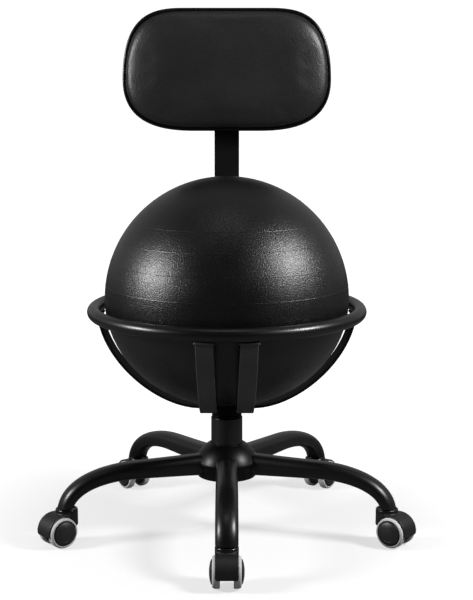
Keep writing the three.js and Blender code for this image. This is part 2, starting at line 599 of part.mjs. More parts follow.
function stemGeometry() {
  const washerBottom = HOOD_NECK_TOP - HOOD_RECESS_DEPTH + SEAT_GAP;
  const washerTop = washerBottom + STEM_WASHER_THICKNESS;
  return turned([
    [0, STEM_BOTTOM], [STEM_RADIUS, STEM_BOTTOM], [STEM_RADIUS, washerBottom],
    [STEM_WASHER_RADIUS, washerBottom], [STEM_WASHER_RADIUS, washerTop],
    [STEM_RADIUS, washerTop], [STEM_RADIUS, SOCKET_BORE_TOP], [0, SOCKET_BORE_TOP],
  ], STEM_SIDES);
}

function axleGeometry() {
  const length = 2 * (HOOD_WEB_HALF_WIDTH + AXLE_DEPTH_IN_WHEEL);
  return new THREE.CylinderGeometry(AXLE_RADIUS, AXLE_RADIUS, length, STEM_SIDES)
    .rotateZ(QUARTER_TURN)
    .translate(0, -CASTER_TRAIL, WHEEL_RADIUS);
}

// Where each arm points and how its caster trails, in degrees from the front towards +X.
const CASTERS = [
  { place: 'front', arm: 0, trail: 0 },
  { place: 'right_front', arm: 72, trail: 52.5 },
  { place: 'right_rear', arm: 144, trail: 144 },
  { place: 'left_rear', arm: -144, trail: -144 },
  { place: 'left_front', arm: -72, trail: -52.5 },
];

function makeArmsAndCasters() {
  const arm = armGeometry();
  const stem = stemGeometry();
  const hood = hoodGeometry();
  const axle = axleGeometry();
  const wheel = wheelGeometry();
  const tyre = tyreGeometry();
  CASTERS.forEach(({ place, arm: armDegrees, trail }) => {
    const spoke = new THREE.Group();
    spoke.rotation.z = THREE.MathUtils.degToRad(armDegrees);
    chair.add(spoke);
    addPiece(`${place}_arm`, arm, 'powderCoat', spoke);
    const caster = new THREE.Group();
    caster.position.y = -STEM_CIRCLE_RADIUS;
    caster.rotation.z = THREE.MathUtils.degToRad(trail - armDegrees);
    spoke.add(caster);
    addPiece(`${place}_caster_stem`, stem, 'zincSteel', caster);
    addPiece(`${place}_caster_hood`, hood, 'blackNylon', caster);
    addPiece(`${place}_caster_axle`, axle, 'zincSteel', caster);
    [['left', Math.PI], ['right', 0]].forEach(([sideName, turn]) => {
      const half = new THREE.Group();
      half.position.y = -CASTER_TRAIL;
      half.rotation.z = turn;
      caster.add(half);
      const toAxle = (geometry) => geometry.clone().translate(0, CASTER_TRAIL, 0);
      addPiece(`${place}_${sideName}_wheel`, toAxle(wheel), 'blackNylon', half);
      addPiece(`${place}_${sideName}_tyre`, toAxle(tyre), 'greyTyre', half);
    });
  });
}

// Ball: an ellipse turned round Z, a little flatter below, drawn at a depth under its skin.
function ballGeometry(inset, steps, sides) {
  const seatHeight = BALL_SEAT_HEIGHT - inset;
  const lowerHeight = BALL_LOWER_HEIGHT - inset;
  const upperHeight = BALL_UPPER_HEIGHT - inset;
  const lowAngle = -Math.asin(seatHeight / lowerHeight);
  const profile = [[0, BALL_WIDEST_HEIGHT - seatHeight]];
  for (let step = 0; step <= steps; step += 1) {
    const angle = THREE.MathUtils.lerp(lowAngle, QUARTER_TURN, step / steps);
    const rise = Math.sin(angle) * (angle < 0 ? lowerHeight : upperHeight);
    const radius = step === steps ? 0 : (BALL_RADIUS - inset) * Math.cos(angle);
    profile.push([radius, BALL_WIDEST_HEIGHT + rise]);
  }
  return turned(profile, sides);
}

function makeBall() {
  const plugProfile = (gap, top) => [
    [0, -PLUG_SINK - PLUG_STEM_LENGTH - gap], [PLUG_STEM_RADIUS + gap, -PLUG_SINK - PLUG_STEM_LENGTH - gap],
    [PLUG_STEM_RADIUS + gap, -PLUG_SINK - gap], [PLUG_FLANGE_RADIUS + gap, -PLUG_SINK - gap],
    [PLUG_FLANGE_RADIUS + gap, top], [0, top],
  ];
  const plugTop = PLUG_FLANGE_THICKNESS - PLUG_SINK;
  const fall = Math.asin(PLUG_DROP / BALL_LOWER_HEIGHT);
  const reach = BALL_RADIUS * Math.cos(fall);
  const slope = [-reach / BALL_RADIUS ** 2, -PLUG_DROP / BALL_LOWER_HEIGHT ** 2];
  const outward = new THREE.Vector3(0, ...slope).normalize();
  const toSkin = new THREE.Matrix4()
    .makeRotationZ(PLUG_AZIMUTH)
    .multiply(new THREE.Matrix4().makeTranslation(0, -reach, BALL_WIDEST_HEIGHT - PLUG_DROP))
    .multiply(new THREE.Matrix4().makeRotationFromQuaternion(
      new THREE.Quaternion().setFromUnitVectors(new THREE.Vector3(0, 0, 1), outward),
    ));
  const hole = turned(plugProfile(SEAT_GAP, plugTop + CUT_OVERRUN), PLUG_SIDES).applyMatrix4(toSkin);
  const inside = ballGeometry(BALL_WALL, BALL_INSIDE_STEPS, BALL_INSIDE_SIDES);
  addPiece('exercise_ball', cut(ballGeometry(0, BALL_STEPS, BALL_SIDES), inside, hole), 'ballSkin');
  addPiece('ball_plug', turned(plugProfile(0, plugTop), PLUG_SIDES).applyMatrix4(toSkin), 'blackNylon');
}

// Cradle.
function plateGeometry() {
  const outline = new THREE.Shape();
  [[1, -1], [1, 1], [-1, 1], [-1, -1]].forEach(([right, back], corner) => {
    const edge = back > 0 ? PLATE_SIDE_AND_REAR_EDGE : PLATE_FRONT_EDGE;
    const centreX = right * (PLATE_SIDE_AND_REAR_EDGE - PLATE_CORNER_RADIUS);
    const centreY = back * (edge - PLATE_CORNER_RADIUS);
    const start = (corner - 1) * QUARTER_TURN;
    outline.absarc(centreX, centreY, PLATE_CORNER_RADIUS, start, start + QUARTER_TURN);
  });
  outline.closePath();
  return new THREE.ExtrudeGeometry(outline, {
    depth: PLATE_THICKNESS, bevelEnabled: false, curveSegments: PLATE_CORNER_STEPS,
  }).translate(0, 0, PLATE_BOTTOM);
}

function ringGeometry(tubeRadius, tubeSides, sides) {
  return new THREE.TorusGeometry(RING_RADIUS, tubeRadius, tubeSides, sides).translate(0, 0, RING_HEIGHT);
}

// A strap's side view follows one curve on its outer face and an offset of it inside.
function strapGeometry(width, curve, topHeight) {
  const outerFace = [new THREE.Vector2(STRAP_INNER_END, STRAP_BOTTOM)];
  const innerFace = [new THREE.Vector2(STRAP_INNER_END, STRAP_TOP)];
  for (let step = 0; step <= STRAP_STEPS; step += 1) {
    const point = curve.getPoint(step / STRAP_STEPS);
    const along = curve.getTangent(step / STRAP_STEPS);
    outerFace.push(point);
    innerFace.push(point.clone().add(new THREE.Vector2(-along.y, along.x).multiplyScalar(STRAP_THICKNESS)));
  }
  if (topHeight) {
    outerFace.push(new THREE.Vector2(outerFace.at(-1).x, topHeight));
    innerFace.push(new THREE.Vector2(innerFace.at(-1).x, topHeight));
  }
  const side = new THREE.Shape([...outerFace, ...innerFace.reverse()]);
  return new THREE.ExtrudeGeometry(side, { depth: width, bevelEnabled: false })
    .translate(0, 0, -width / 2)
    .applyMatrix4(sideViewToFront());
}

function strapCurve(topRadius, flatEnd) {
  const lean = new THREE.Vector2(Math.sin(STRAP_UPPER_LEAN), -Math.cos(STRAP_UPPER_LEAN));
  const top = new THREE.Vector2(topRadius + STRAP_THICKNESS / 2, RING_HEIGHT);
  return new THREE.CubicBezierCurve(
    new THREE.Vector2(flatEnd, STRAP_BOTTOM),
    new THREE.Vector2(flatEnd + STRAP_LOWER_REACH_SHARE * (top.x - flatEnd), STRAP_BOTTOM),
    top.clone().addScaledVector(lean, STRAP_UPPER_REACH_SHARE * (top.y - STRAP_BOTTOM)),
    top,
  );
}

function makeCradle() {
  addPiece('cradle_plate', plateGeometry(), 'powderCoat');
  const bore = ringGeometry(RING_TUBE_RADIUS - RING_WALL, RING_BORE_TUBE_SIDES, RING_BORE_SIDES);
  const ventBottom = RING_HEIGHT - RING_TUBE_RADIUS - CUT_OVERRUN;
  const vent = cylinder(RING_VENT_RADIUS, ventBottom, RING_HEIGHT, RING_VENT_SIDES)
    .translate(0, RING_RADIUS, 0);
  const tube = ringGeometry(RING_TUBE_RADIUS, RING_TUBE_SIDES, RING_SIDES);
  addPiece('support_ring', cut(tube, bore, vent), 'powderCoat');

  const ringRoom = ringGeometry(RING_TUBE_RADIUS + SEAT_GAP, RING_TUBE_SIDES, RING_SIDES);
  const rise = RING_HEIGHT - STRAP_TOP;
  const topOffset = FRONT_STRAP_OFFSET + FRONT_STRAP_SPREAD;
  const frontTopRadius = Math.sqrt(RING_RADIUS ** 2 - topOffset ** 2);
  const frontCurve = strapCurve(frontTopRadius, FRONT_STRAP_FLAT_END);
  [['left', -1], ['right', 1]].forEach(([sideName, side]) => {
    const spread = new THREE.Matrix4().makeShear(0, 0, 0, 0, (side * FRONT_STRAP_SPREAD) / rise, 0);
    const strap = strapGeometry(STRAP_WIDTH, frontCurve)
      .translate(0, 0, -STRAP_TOP)
      .applyMatrix4(spread)
      .translate(side * FRONT_STRAP_OFFSET, 0, STRAP_TOP);
    addPiece(`front_strap_${sideName}`, cut(strap, ringRoom), 'powderCoat');
  });
  const sideStrap = strapGeometry(STRAP_WIDTH, strapCurve(RING_RADIUS, STRAP_FLAT_END));
  [['left', -1], ['right', 1]].forEach(([sideName, side]) => {
    const strap = sideStrap.clone().rotateZ(side * SIDE_STRAP_AZIMUTH);
    addPiece(`side_strap_${sideName}`, cut(strap, ringRoom), 'powderCoat');
  });
}

// Rear support and clamp. Places are measured from the column's axis towards +Y.
const SUPPORT_INNER_FACE = RING_RADIUS + RING_TUBE_RADIUS + SEAT_GAP;
const SUPPORT_OUTER_FACE = SUPPORT_INNER_FACE + STRAP_THICKNESS;
const BAR_FRONT_FACE = SUPPORT_OUTER_FACE + BAR_SLIDE_GAP;
const BAR_BACK_FACE = BAR_FRONT_FACE + BAR_THICKNESS;
const CLAMP_BACK_INSIDE = BAR_BACK_FACE + BAR_SLIDE_GAP;
const CLAMP_BACK_FACE = CLAMP_BACK_INSIDE + CLAMP_WALL;

function makeRearSupport() {
  const lowerReach = SUPPORT_LOWER_REACH_SHARE * (SUPPORT_OUTER_FACE - STRAP_FLAT_END);
  const upperReach = SUPPORT_UPPER_REACH_SHARE * (SUPPORT_BEND_TOP - STRAP_BOTTOM);
  const curve = new THREE.CubicBezierCurve(
    new THREE.Vector2(STRAP_FLAT_END, STRAP_BOTTOM),
    new THREE.Vector2(STRAP_FLAT_END + lowerReach, STRAP_BOTTOM),
    new THREE.Vector2(SUPPORT_OUTER_FACE, SUPPORT_BEND_TOP - upperReach),
    new THREE.Vector2(SUPPORT_OUTER_FACE, SUPPORT_BEND_TOP),
  );
  const strap = strapGeometry(SUPPORT_WIDTH, curve, CLAMP_TOP).rotateZ(Math.PI);
  const cavityWidth = BAR_WIDTH + 2 * BAR_SLIDE_GAP;
  const clampDepth = CLAMP_BACK_FACE - SUPPORT_INNER_FACE;
  const clampHeight = CLAMP_TOP - CLAMP_BOTTOM;
  const clampMiddle = (CLAMP_TOP + CLAMP_BOTTOM) / 2;
  const box = block(cavityWidth + 2 * CLAMP_WALL, clampDepth, clampHeight,
    0, SUPPORT_INNER_FACE + clampDepth / 2, clampMiddle);
  const cavity = block(cavityWidth, CLAMP_BACK_INSIDE - SUPPORT_OUTER_FACE, clampHeight + CUT_OVERRUN,
    0, (CLAMP_BACK_INSIDE + SUPPORT_OUTER_FACE) / 2, clampMiddle);
  const nutLength = CLAMP_NUT_LENGTH + CLAMP_WALL / 2;
  const nut = new THREE.CylinderGeometry(CLAMP_NUT_RADIUS, CLAMP_NUT_RADIUS, nutLength, CLAMP_NUT_SIDES)
    .translate(0, CLAMP_BACK_FACE + CLAMP_NUT_LENGTH - nutLength / 2, KNOB_HEIGHT);
  const boreRadius = KNOB_STUD_RADIUS + SEAT_GAP;
  const boreStart = CLAMP_BACK_INSIDE - BAR_SLIDE_GAP;
  const boreLength = CLAMP_BACK_FACE + CLAMP_NUT_LENGTH + CUT_OVERRUN - boreStart;
  const bore = new THREE.CylinderGeometry(boreRadius, boreRadius, boreLength, STEM_SIDES)
    .translate(0, boreStart + boreLength / 2, KNOB_HEIGHT);
  addPiece('rear_support', cut(joined(strap, box, nut), cavity, bore), 'powderCoat');
}

function makeClampKnob() {
  const grip = new THREE.Shape();
  for (let k = 0; k < KNOB_SIDES; k += 1) {
    const angle = (k / KNOB_SIDES) * FULL_TURN;
    const radius = KNOB_RADIUS - KNOB_BEVEL - KNOB_LOBE_DEPTH * (1 - Math.cos(KNOB_LOBES * angle)) / 2;
    const [x, y] = [radius * Math.cos(angle), radius * Math.sin(angle)];
    if (k === 0) grip.moveTo(x, y);
    else grip.lineTo(x, y);
  }
  grip.closePath();
  const gripFront = CLAMP_BACK_FACE + CLAMP_NUT_LENGTH + 2 * SEAT_GAP;
  const head = new THREE.ExtrudeGeometry(grip, {
    depth: KNOB_THICKNESS - 2 * KNOB_BEVEL,
    bevelThickness: KNOB_BEVEL,
    bevelSize: KNOB_BEVEL,
    bevelSegments: 1,
  })
    .rotateX(-QUARTER_TURN)
    .translate(0, gripFront + KNOB_BEVEL, KNOB_HEIGHT);
  const studFront = BAR_BACK_FACE + SEAT_GAP;
  const studBack = gripFront + KNOB_THICKNESS / 2;
  const studLength = studBack - studFront;
  const stud = new THREE.CylinderGeometry(KNOB_STUD_RADIUS, KNOB_STUD_RADIUS, studLength, STEM_SIDES)
    .translate(0, (studBack + studFront) / 2, KNOB_HEIGHT);
  addPiece('height_clamp_knob', joined(head, stud), 'blackNylon');
}

// Backrest: its outline has wide upper corners and is widest below its middle.
function backrestOutline(inset) {
  const halfWidth = BACKREST_HALF_WIDTH - inset;
  const up = BACKREST_TOP - BACKREST_WIDEST_HEIGHT - inset;
  const down = BACKREST_WIDEST_RISE - inset;
  const quarter = (height, { flatShare, edgeHandleShare, sideHandleShare }) => {
    const flat = halfWidth * flatShare;
    return [new THREE.Vector2(0, height), ...new THREE.CubicBezierCurve(
      new THREE.Vector2(flat, height),
      new THREE.Vector2(flat + (halfWidth - flat) * edgeHandleShare, height),
      new THREE.Vector2(halfWidth, height * sideHandleShare),
      new THREE.Vector2(halfWidth, 0),
    ).getPoints(OUTLINE_STEPS)];
  };
  const upper = quarter(up, UPPER_CORNER);
  const lower = quarter(-down, LOWER_CORNER);
  const rightHalf = [...upper, ...lower.reverse().slice(1)];
  const leftHalf = rightHalf.slice(1, -1).reverse().map((point) => new THREE.Vector2(-point.x, point.y));
  return [...rightHalf, ...leftHalf].map(({ x, y }) => new THREE.Vector2(x, y + BACKREST_WIDEST_HEIGHT));
}

// An outline at one depth, as points in the room.
function outlineRing(inset, depth) {
  return backrestOutline(inset).map((point) => new THREE.Vector3(point.x, depth, point.y));
}

const BOSS_BACK = BAR_FRONT_FACE - SEAT_GAP;
const SHELL_BACK = BOSS_BACK - SHELL_BOSS_DEPTH;
const SHELL_PANEL_FRONT = SHELL_BACK - SHELL_THICKNESS;
const CUSHION_BACK = SHELL_PANEL_FRONT - SEAT_GAP;

function makeBackrest() {
  const rimFront = SHELL_PANEL_FRONT - SHELL_RIM_DEPTH;
  const body = loft([
    outlineRing(SHELL_BEVEL / 4, rimFront),
    outlineRing(0, rimFront + SHELL_BEVEL / 4),
    outlineRing(0, SHELL_BACK - SHELL_BEVEL),
    outlineRing(SHELL_BEVEL / 2, SHELL_BACK - SHELL_BEVEL / 4),
    outlineRing(2 * SHELL_BEVEL, SHELL_BACK),
  ]);
  const pocket = loft([
    outlineRing(SHELL_RIM_WIDTH, rimFront - CUT_OVERRUN),
    outlineRing(SHELL_RIM_WIDTH, SHELL_PANEL_FRONT),
  ]);
  const bossBottom = BACKREST_BOTTOM + SHELL_BOSS_RISE;
  const bossTop = BAR_TOP + SHELL_BOSS_PAST_BAR;
  const bossDepth = SHELL_BOSS_DEPTH + SHELL_THICKNESS / 2;
  const boss = block(SHELL_BOSS_WIDTH, bossDepth, bossTop - bossBottom,
    0, BOSS_BACK - bossDepth / 2, (bossTop + bossBottom) / 2);
  addPiece('backrest_shell', joined(cut(body, pocket), boss), 'blackNylon');

  const sideInset = SHELL_RIM_WIDTH + SEAT_GAP;
  const crownStart = CUSHION_BACK - CUSHION_SIDE_DEPTH;
  const crownRise = CUSHION_THICKNESS - CUSHION_SIDE_DEPTH;
  const cushion = loft([
    outlineRing(sideInset, CUSHION_BACK),
    outlineRing(sideInset + CUSHION_DRAW_IN, CUSHION_BACK - CUSHION_SIDE_DEPTH / 2),
    ...CUSHION_CROWN_RUN_SHARES.map((runShare, i) => outlineRing(
      sideInset + runShare * CUSHION_CROWN_RUN,
      crownStart - crownRise * CUSHION_CROWN_RISE_SHARES[i],
    )),
  ]);
  addPiece('backrest_cushion', cushion, 'leatherette');

  const bar = block(BAR_WIDTH, BAR_THICKNESS, BAR_TOP - BAR_BOTTOM,
    0, BAR_FRONT_FACE + BAR_THICKNESS / 2, (BAR_TOP + BAR_BOTTOM) / 2);
  addPiece('upright_bar', bar, 'powderCoat');
}

makeHub();
makeArmsAndCasters();
makeColumn();
makeCradle();
makeRearSupport();
makeClampKnob();
makeBall();
makeBackrest();

// The origin lies on the floor, in the middle of the chair's footprint.
const footprint = new THREE.Box3().setFromObject(chair, true);
const middle = footprint.getCenter(new THREE.Vector3());
chair.position.set(-middle.x, -middle.y, -footprint.min.z);

export default chair;
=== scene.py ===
# %% [markdown]
# # A balance ball chair
# This lesson dresses the mechanical model of an office chair whose seat is an exercise ball. Each
# solid of the frame that shows is replaced by a finished piece, or gets a finish of its own.

# %% Load the frame
from math import asin, atan2, copysign, cos, degrees, hypot, pi, radians, sin, sqrt
import bmesh
import bpy
from mathutils import Matrix, Vector


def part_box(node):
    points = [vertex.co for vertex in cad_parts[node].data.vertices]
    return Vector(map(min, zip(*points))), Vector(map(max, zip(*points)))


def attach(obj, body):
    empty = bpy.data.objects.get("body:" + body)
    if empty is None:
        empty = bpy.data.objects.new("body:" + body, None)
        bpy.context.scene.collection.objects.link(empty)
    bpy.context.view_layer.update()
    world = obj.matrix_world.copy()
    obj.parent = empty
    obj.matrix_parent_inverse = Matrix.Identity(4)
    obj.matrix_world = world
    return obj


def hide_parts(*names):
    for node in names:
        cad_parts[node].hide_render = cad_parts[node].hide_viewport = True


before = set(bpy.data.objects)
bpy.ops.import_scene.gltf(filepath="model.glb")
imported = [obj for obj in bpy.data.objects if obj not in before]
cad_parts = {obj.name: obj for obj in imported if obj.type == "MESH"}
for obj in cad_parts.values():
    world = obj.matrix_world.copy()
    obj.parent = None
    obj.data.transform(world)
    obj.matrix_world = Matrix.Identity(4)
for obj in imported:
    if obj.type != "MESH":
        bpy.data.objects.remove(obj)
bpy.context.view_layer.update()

# %% [markdown]
# Sizes are in millimetres. The column is the chair's turning axis, so its place is read from the
# frame and all that is round it starts there.

# %% Units and the column's axis
MM = 0.001
Y, Z = 1, 2  # the numbers of two axes
SIDES = (("left", -1), ("right", 1))
FACING_BACK = Matrix.Rotation(-pi / 2, 4, "X")
sleeve_low, sleeve_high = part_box("column_sleeve")
COLUMN = Vector(((sleeve_low.x + sleeve_high.x) / 2, (sleeve_low.y + sleeve_high.y) / 2, 0))


def at(x, y, z):
    """A matrix to a place in millimetres from the column's foot."""
    return Matrix.Translation(COLUMN + Vector((x, y, z)) * MM)


def about_column(turn):
    """A matrix to the column's foot, with a turn about it."""
    return Matrix.Translation(COLUMN) @ Matrix.Rotation(turn, 4, "Z")


print("the column stands at y =", round(COLUMN.y / MM, 2), "mm")

# %% [markdown]
# Blender's operators act on what is selected, so each step leaves one piece selected.

# %% Helpers for objects
def clear_selection():
    """Leaves edit mode, with nothing selected."""
    if bpy.context.mode != "OBJECT":
        bpy.ops.object.mode_set(mode="OBJECT")
    bpy.ops.object.select_all(action="DESELECT")


def choose(piece):
    """Leaves one piece selected and active, in object mode."""
    clear_selection()
    piece.select_set(True)
    bpy.context.view_layer.objects.active = piece


def finish_with(piece, kind, **settings):
    """Adds and applies a modifier."""
    choose(piece)
    modifier = piece.modifiers.new(kind.title(), kind)
    for name, value in settings.items():
        setattr(modifier, name, value)
    bpy.ops.object.modifier_apply(modifier=modifier.name)
    return piece


def settle(piece, name=None):
    """Moves a piece's place into its mesh, and may name it."""
    choose(piece)
    bpy.ops.object.transform_apply(location=True, rotation=True, scale=True)
    piece.name = name or piece.name
    piece.data.name = piece.name
    return piece


def put(piece, place, name=None):
    """Moves a piece by metres and settles it."""
    piece.location = place
    return settle(piece, name)


def carry(piece, matrix, name=None):
    """Moves a piece by a matrix and settles it."""
    piece.matrix_world = matrix
    return settle(piece, name)


def copy_to(template, name, matrix):
    """Copies a piece and its mesh to another place."""
    choose(template)
    bpy.ops.object.duplicate(linked=False)
    return carry(bpy.context.object, matrix, name)

# %% [markdown]
# No real edge is perfectly sharp: a small radius catches the light. Bevel makes it, and Weighted
# Normal keeps the flat faces looking flat.

# %% Rounding edges
SMOOTH_ANGLE = 50


def smooth(piece, angle=None):
    """Shades a piece smooth, all over or up to an angle in degrees."""
    choose(piece)
    if angle:
        bpy.ops.object.shade_smooth_by_angle(angle=radians(angle))
    else:
        bpy.ops.object.shade_smooth()


def soften(piece, radius, segments=3, sharp=35):
    """Rounds the edges that turn by more than `sharp` degrees."""
    finish_with(piece, "BEVEL", width=radius * MM, segments=segments, limit_method="ANGLE",
                angle_limit=radians(sharp))
    smooth(piece, SMOOTH_ANGLE)
    return finish_with(piece, "WEIGHTED_NORMAL", keep_sharp=True)

# %% [markdown]
# Picking points, edges and faces by their place keeps the choice right when a size changes, which
# a list of numbers wouldn't.

# %% Helpers for edit mode
SAME_PLACE = 0.002


def edit(piece):
    """Opens a piece in edit mode."""
    choose(piece)
    bpy.ops.object.mode_set(mode="EDIT")


def select_all():
    """Selects the whole mesh."""
    bpy.ops.mesh.select_all(action="SELECT")


def merge_points():
    """Merges points that coincide."""
    select_all()
    bpy.ops.mesh.remove_doubles(threshold=SAME_PLACE * MM)


def face_outwards():
    """Turns every face outwards."""
    select_all()
    bpy.ops.mesh.normals_make_consistent(inside=False)


def extrude(step):
    """Extrudes what is selected by a step in metres."""
    bpy.ops.mesh.extrude_region_move(TRANSFORM_OT_translate={"value": step})


def cut(axis, place, keep=None):
    """Cuts across an axis, and keeps both sides, "above" or "below"."""
    spot, normal = [0, 0, 0], [0, 0, 0]
    spot[axis], normal[axis] = place * MM, 1
    select_all()
    bpy.ops.mesh.bisect(plane_co=spot, plane_no=normal, use_fill=keep is not None,
                        clear_inner=keep == "above", clear_outer=keep == "below")


def select_where(piece, kind, test):
    """Selects the VERT, EDGE or FACE elements that pass a test."""
    edit(piece)
    bpy.ops.mesh.select_mode(type=kind)
    bpy.ops.mesh.select_all(action="DESELECT")
    mesh = bmesh.from_edit_mesh(piece.data)
    for element in {"VERT": mesh.verts, "EDGE": mesh.edges, "FACE": mesh.faces}[kind]:
        if test(element):
            element.select_set(True)
    bmesh.update_edit_mesh(piece.data)


def round_where(piece, test, radius, segments):
    """Rounds the edges that pass a test."""
    select_where(piece, "EDGE", test)
    bpy.ops.mesh.bevel(offset=radius * MM, segments=segments, affect="EDGES")


def lies_at(edge, axis, place, within=0.02):
    """Whether an edge lies at one place, in millimetres, along an axis."""
    return all(abs(end.co[axis] / MM - place) < within for end in edge.verts)


def runs_along(edge, axis):
    """Whether an edge runs more than a millimetre along an axis."""
    return abs((edge.verts[0].co - edge.verts[1].co)[axis]) > MM

# %% [markdown]
# Many pieces start as a drawn line, extruded point by point. Turned about an upright axis, it
# becomes a hub, a sleeve, a wheel or a screw.

# %% Drawing and turning
def draw_line(points):
    """Draws a line through points in millimetres, in edit mode."""
    clear_selection()
    bpy.ops.mesh.primitive_plane_add(size=MM)
    line = bpy.context.object
    bpy.ops.object.mode_set(mode="EDIT")
    bpy.ops.mesh.select_mode(type="VERT")
    bpy.ops.mesh.merge(type="CENTER")
    places = [Vector(point) * MM for point in points]
    bpy.ops.transform.translate(value=places[0])
    for here, there in zip(places, places[1:]):
        extrude(there - here)
    return line


def turned(name, profile, steps=96):
    """Turns (radius, height) points in millimetres about the Z axis."""
    piece = draw_line([(radius, 0, height) for radius, height in profile])
    select_all()
    bpy.ops.mesh.spin(steps=steps, angle=2 * pi, center=(0, 0, 0), axis=(0, 0, 1))
    merge_points()
    bpy.ops.mesh.normals_make_consistent(inside=False)
    return settle(piece, name)

# %% [markdown]
# A block, a rod and a Boolean are enough for the machined and moulded shapes: stock that is then
# cut, joined and rounded.

# %% Stock shapes
def block(name, low, high):
    """A block between two corners, in millimetres from the column's axis."""
    clear_selection()
    middle = [(a + b) / 2 * MM for a, b in zip(low, high)]
    bpy.ops.mesh.primitive_cube_add(size=MM, location=Vector(middle) + COLUMN)
    piece = bpy.context.object
    piece.scale = [b - a for a, b in zip(low, high)]
    return settle(piece, name)


def rod(name, radius, start, end, sides=64):
    """A round rod between two points in millimetres from the origin."""
    clear_selection()
    start, end = Vector(start), Vector(end)
    bpy.ops.mesh.primitive_cylinder_add(
        vertices=sides, radius=radius * MM, depth=(end - start).length * MM,
        location=(start + end) / 2 * MM, rotation=(end - start).to_track_quat("Z", "Y").to_euler())
    return settle(bpy.context.object, name)


def combine(piece, tool, operation):
    """Joins a tool to a piece or cuts it away, and removes the tool."""
    finish_with(piece, "BOOLEAN", operation=operation, object=tool, solver="EXACT")
    bpy.data.objects.remove(tool)

# %% [markdown]
# Every piece gets its finish and rides on its body, and the frame's solid that it stands for is
# hidden.

# %% Handing a piece to the frame
def hand_over(piece, body, node, material=None):
    """Gives a piece its finish and body, and hides the solid it stands for."""
    if material:
        piece.data.materials.clear()
        piece.data.materials.append(material)
    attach(piece, body)
    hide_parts(node)


def two_finishes(piece, first, second, test):
    """Gives a piece one finish, and another to the faces that pass a test."""
    piece.data.materials.append(first)
    piece.data.materials.append(second)
    select_where(piece, "FACE", test)
    piece.active_material_index = 1
    bpy.ops.object.material_slot_assign()
    clear_selection()

# %% [markdown]
# Materials are made of nodes. Hex colours from a paint chart are turned to the linear values that
# shaders work in.

# %% Helpers for finishes
COLOUR_A, COLOUR_B = 6, 7  # the Mix node's colour inputs share their names with other inputs
COLOUR_RESULT = 2
PATCH = 60  # how many grains wide the patches of different gloss are
NOISE = {"From Min": 0.3, "From Max": 0.7}  # where most values of a noise texture lie


def linear(hex_colour):
    """The linear values of an sRGB hex colour."""
    shares = [int(hex_colour[i:i + 2], 16) / 255 for i in (1, 3, 5)]
    return tuple(s / 12.92 if s <= 0.04045 else ((s + 0.055) / 1.055) ** 2.4 for s in shares) + (1,)


def add_node(material, kind, inputs=None, **settings):
    """Adds a node. An input takes a value, or another node's output."""
    node = material.node_tree.nodes.new(f"ShaderNode{kind}")
    for name, value in settings.items():
        setattr(node, name, value)
    for name, value in (inputs or {}).items():
        if isinstance(value, bpy.types.NodeSocket):
            material.node_tree.links.new(value, node.inputs[name])
        else:
            node.inputs[name].default_value = value
    return node


def wire(material, node, **sources):
    """Links outputs to the named inputs of a node."""
    for name, source in sources.items():
        material.node_tree.links.new(source, node.inputs[name.replace("_", " ")])


def start_finish(name, **sockets):
    """A material with its Principled shader's sockets set."""
    material = bpy.data.materials.new(name)
    material.use_nodes = True
    shader = material.node_tree.nodes["Principled BSDF"]
    for socket, value in sockets.items():
        shader.inputs[socket.replace("_", " ")].default_value = value
    return material, shader


def grained(name, size, depth, roughness, colours, detail=2.0, **sockets):
    """A finish with a fine grain, whose size and depth are in millimetres."""
    material, shader = start_finish(name, **sockets)
    place = add_node(material, "TexCoord").outputs["Object"]
    fine = add_node(material, "TexNoise", {
        "Vector": place, "Scale": 1 / (size * MM), "Detail": detail})
    broad = add_node(material, "TexNoise", {
        "Vector": place, "Scale": 1 / (PATCH * size * MM), "Detail": 3.0})
    bump = add_node(material, "Bump", {
        "Height": fine.outputs["Fac"], "Distance": depth * MM, "Strength": 1.0})
    gloss = add_node(material, "MapRange", {
        "Value": broad.outputs["Fac"], "To Min": roughness[0], "To Max": roughness[1], **NOISE})
    tint = add_node(material, "Mix", {
        "Factor": fine.outputs["Fac"], COLOUR_A: linear(colours[0]), COLOUR_B: linear(colours[1])},
        data_type="RGBA")
    wire(material, shader, Normal=bump.outputs["Normal"], Roughness=gloss.outputs["Result"],
         Base_Color=tint.outputs[COLOUR_RESULT])
    return material

# %% [markdown]
# The photograph was taken with a long lens from almost three metres away, looking down by about
# ten degrees. The lens shift makes up for its crop.

# %% Camera
PICTURE = (473, 600)
FOCAL_PIXELS = 1561.6
AXIS_PIXEL = (226.8, 312.8)
CAMERA_DISTANCE = 2.905
CAMERA_HEIGHT = 0.9536
CAMERA_PITCH = 0.181
bpy.ops.object.camera_add(location=(COLUMN.x, COLUMN.y - CAMERA_DISTANCE, CAMERA_HEIGHT),
                          rotation=(pi / 2 - CAMERA_PITCH, 0, 0))
camera = bpy.context.object
camera.name = "photo_camera"
bpy.context.scene.camera = camera
optics = camera.data
optics.sensor_width = 36
optics.lens = FOCAL_PIXELS * optics.sensor_width / PICTURE[1]
optics.shift_x = (PICTURE[0] / 2 - AXIS_PIXEL[0]) / PICTURE[1]
optics.shift_y = (AXIS_PIXEL[1] - PICTURE[1] / 2) / PICTURE[1]
print("lens", round(optics.lens, 1), "mm")

# %% [markdown]
# The highlights on the ball tell where the lamps stood: a softbox on each side and a weak one
# overhead.

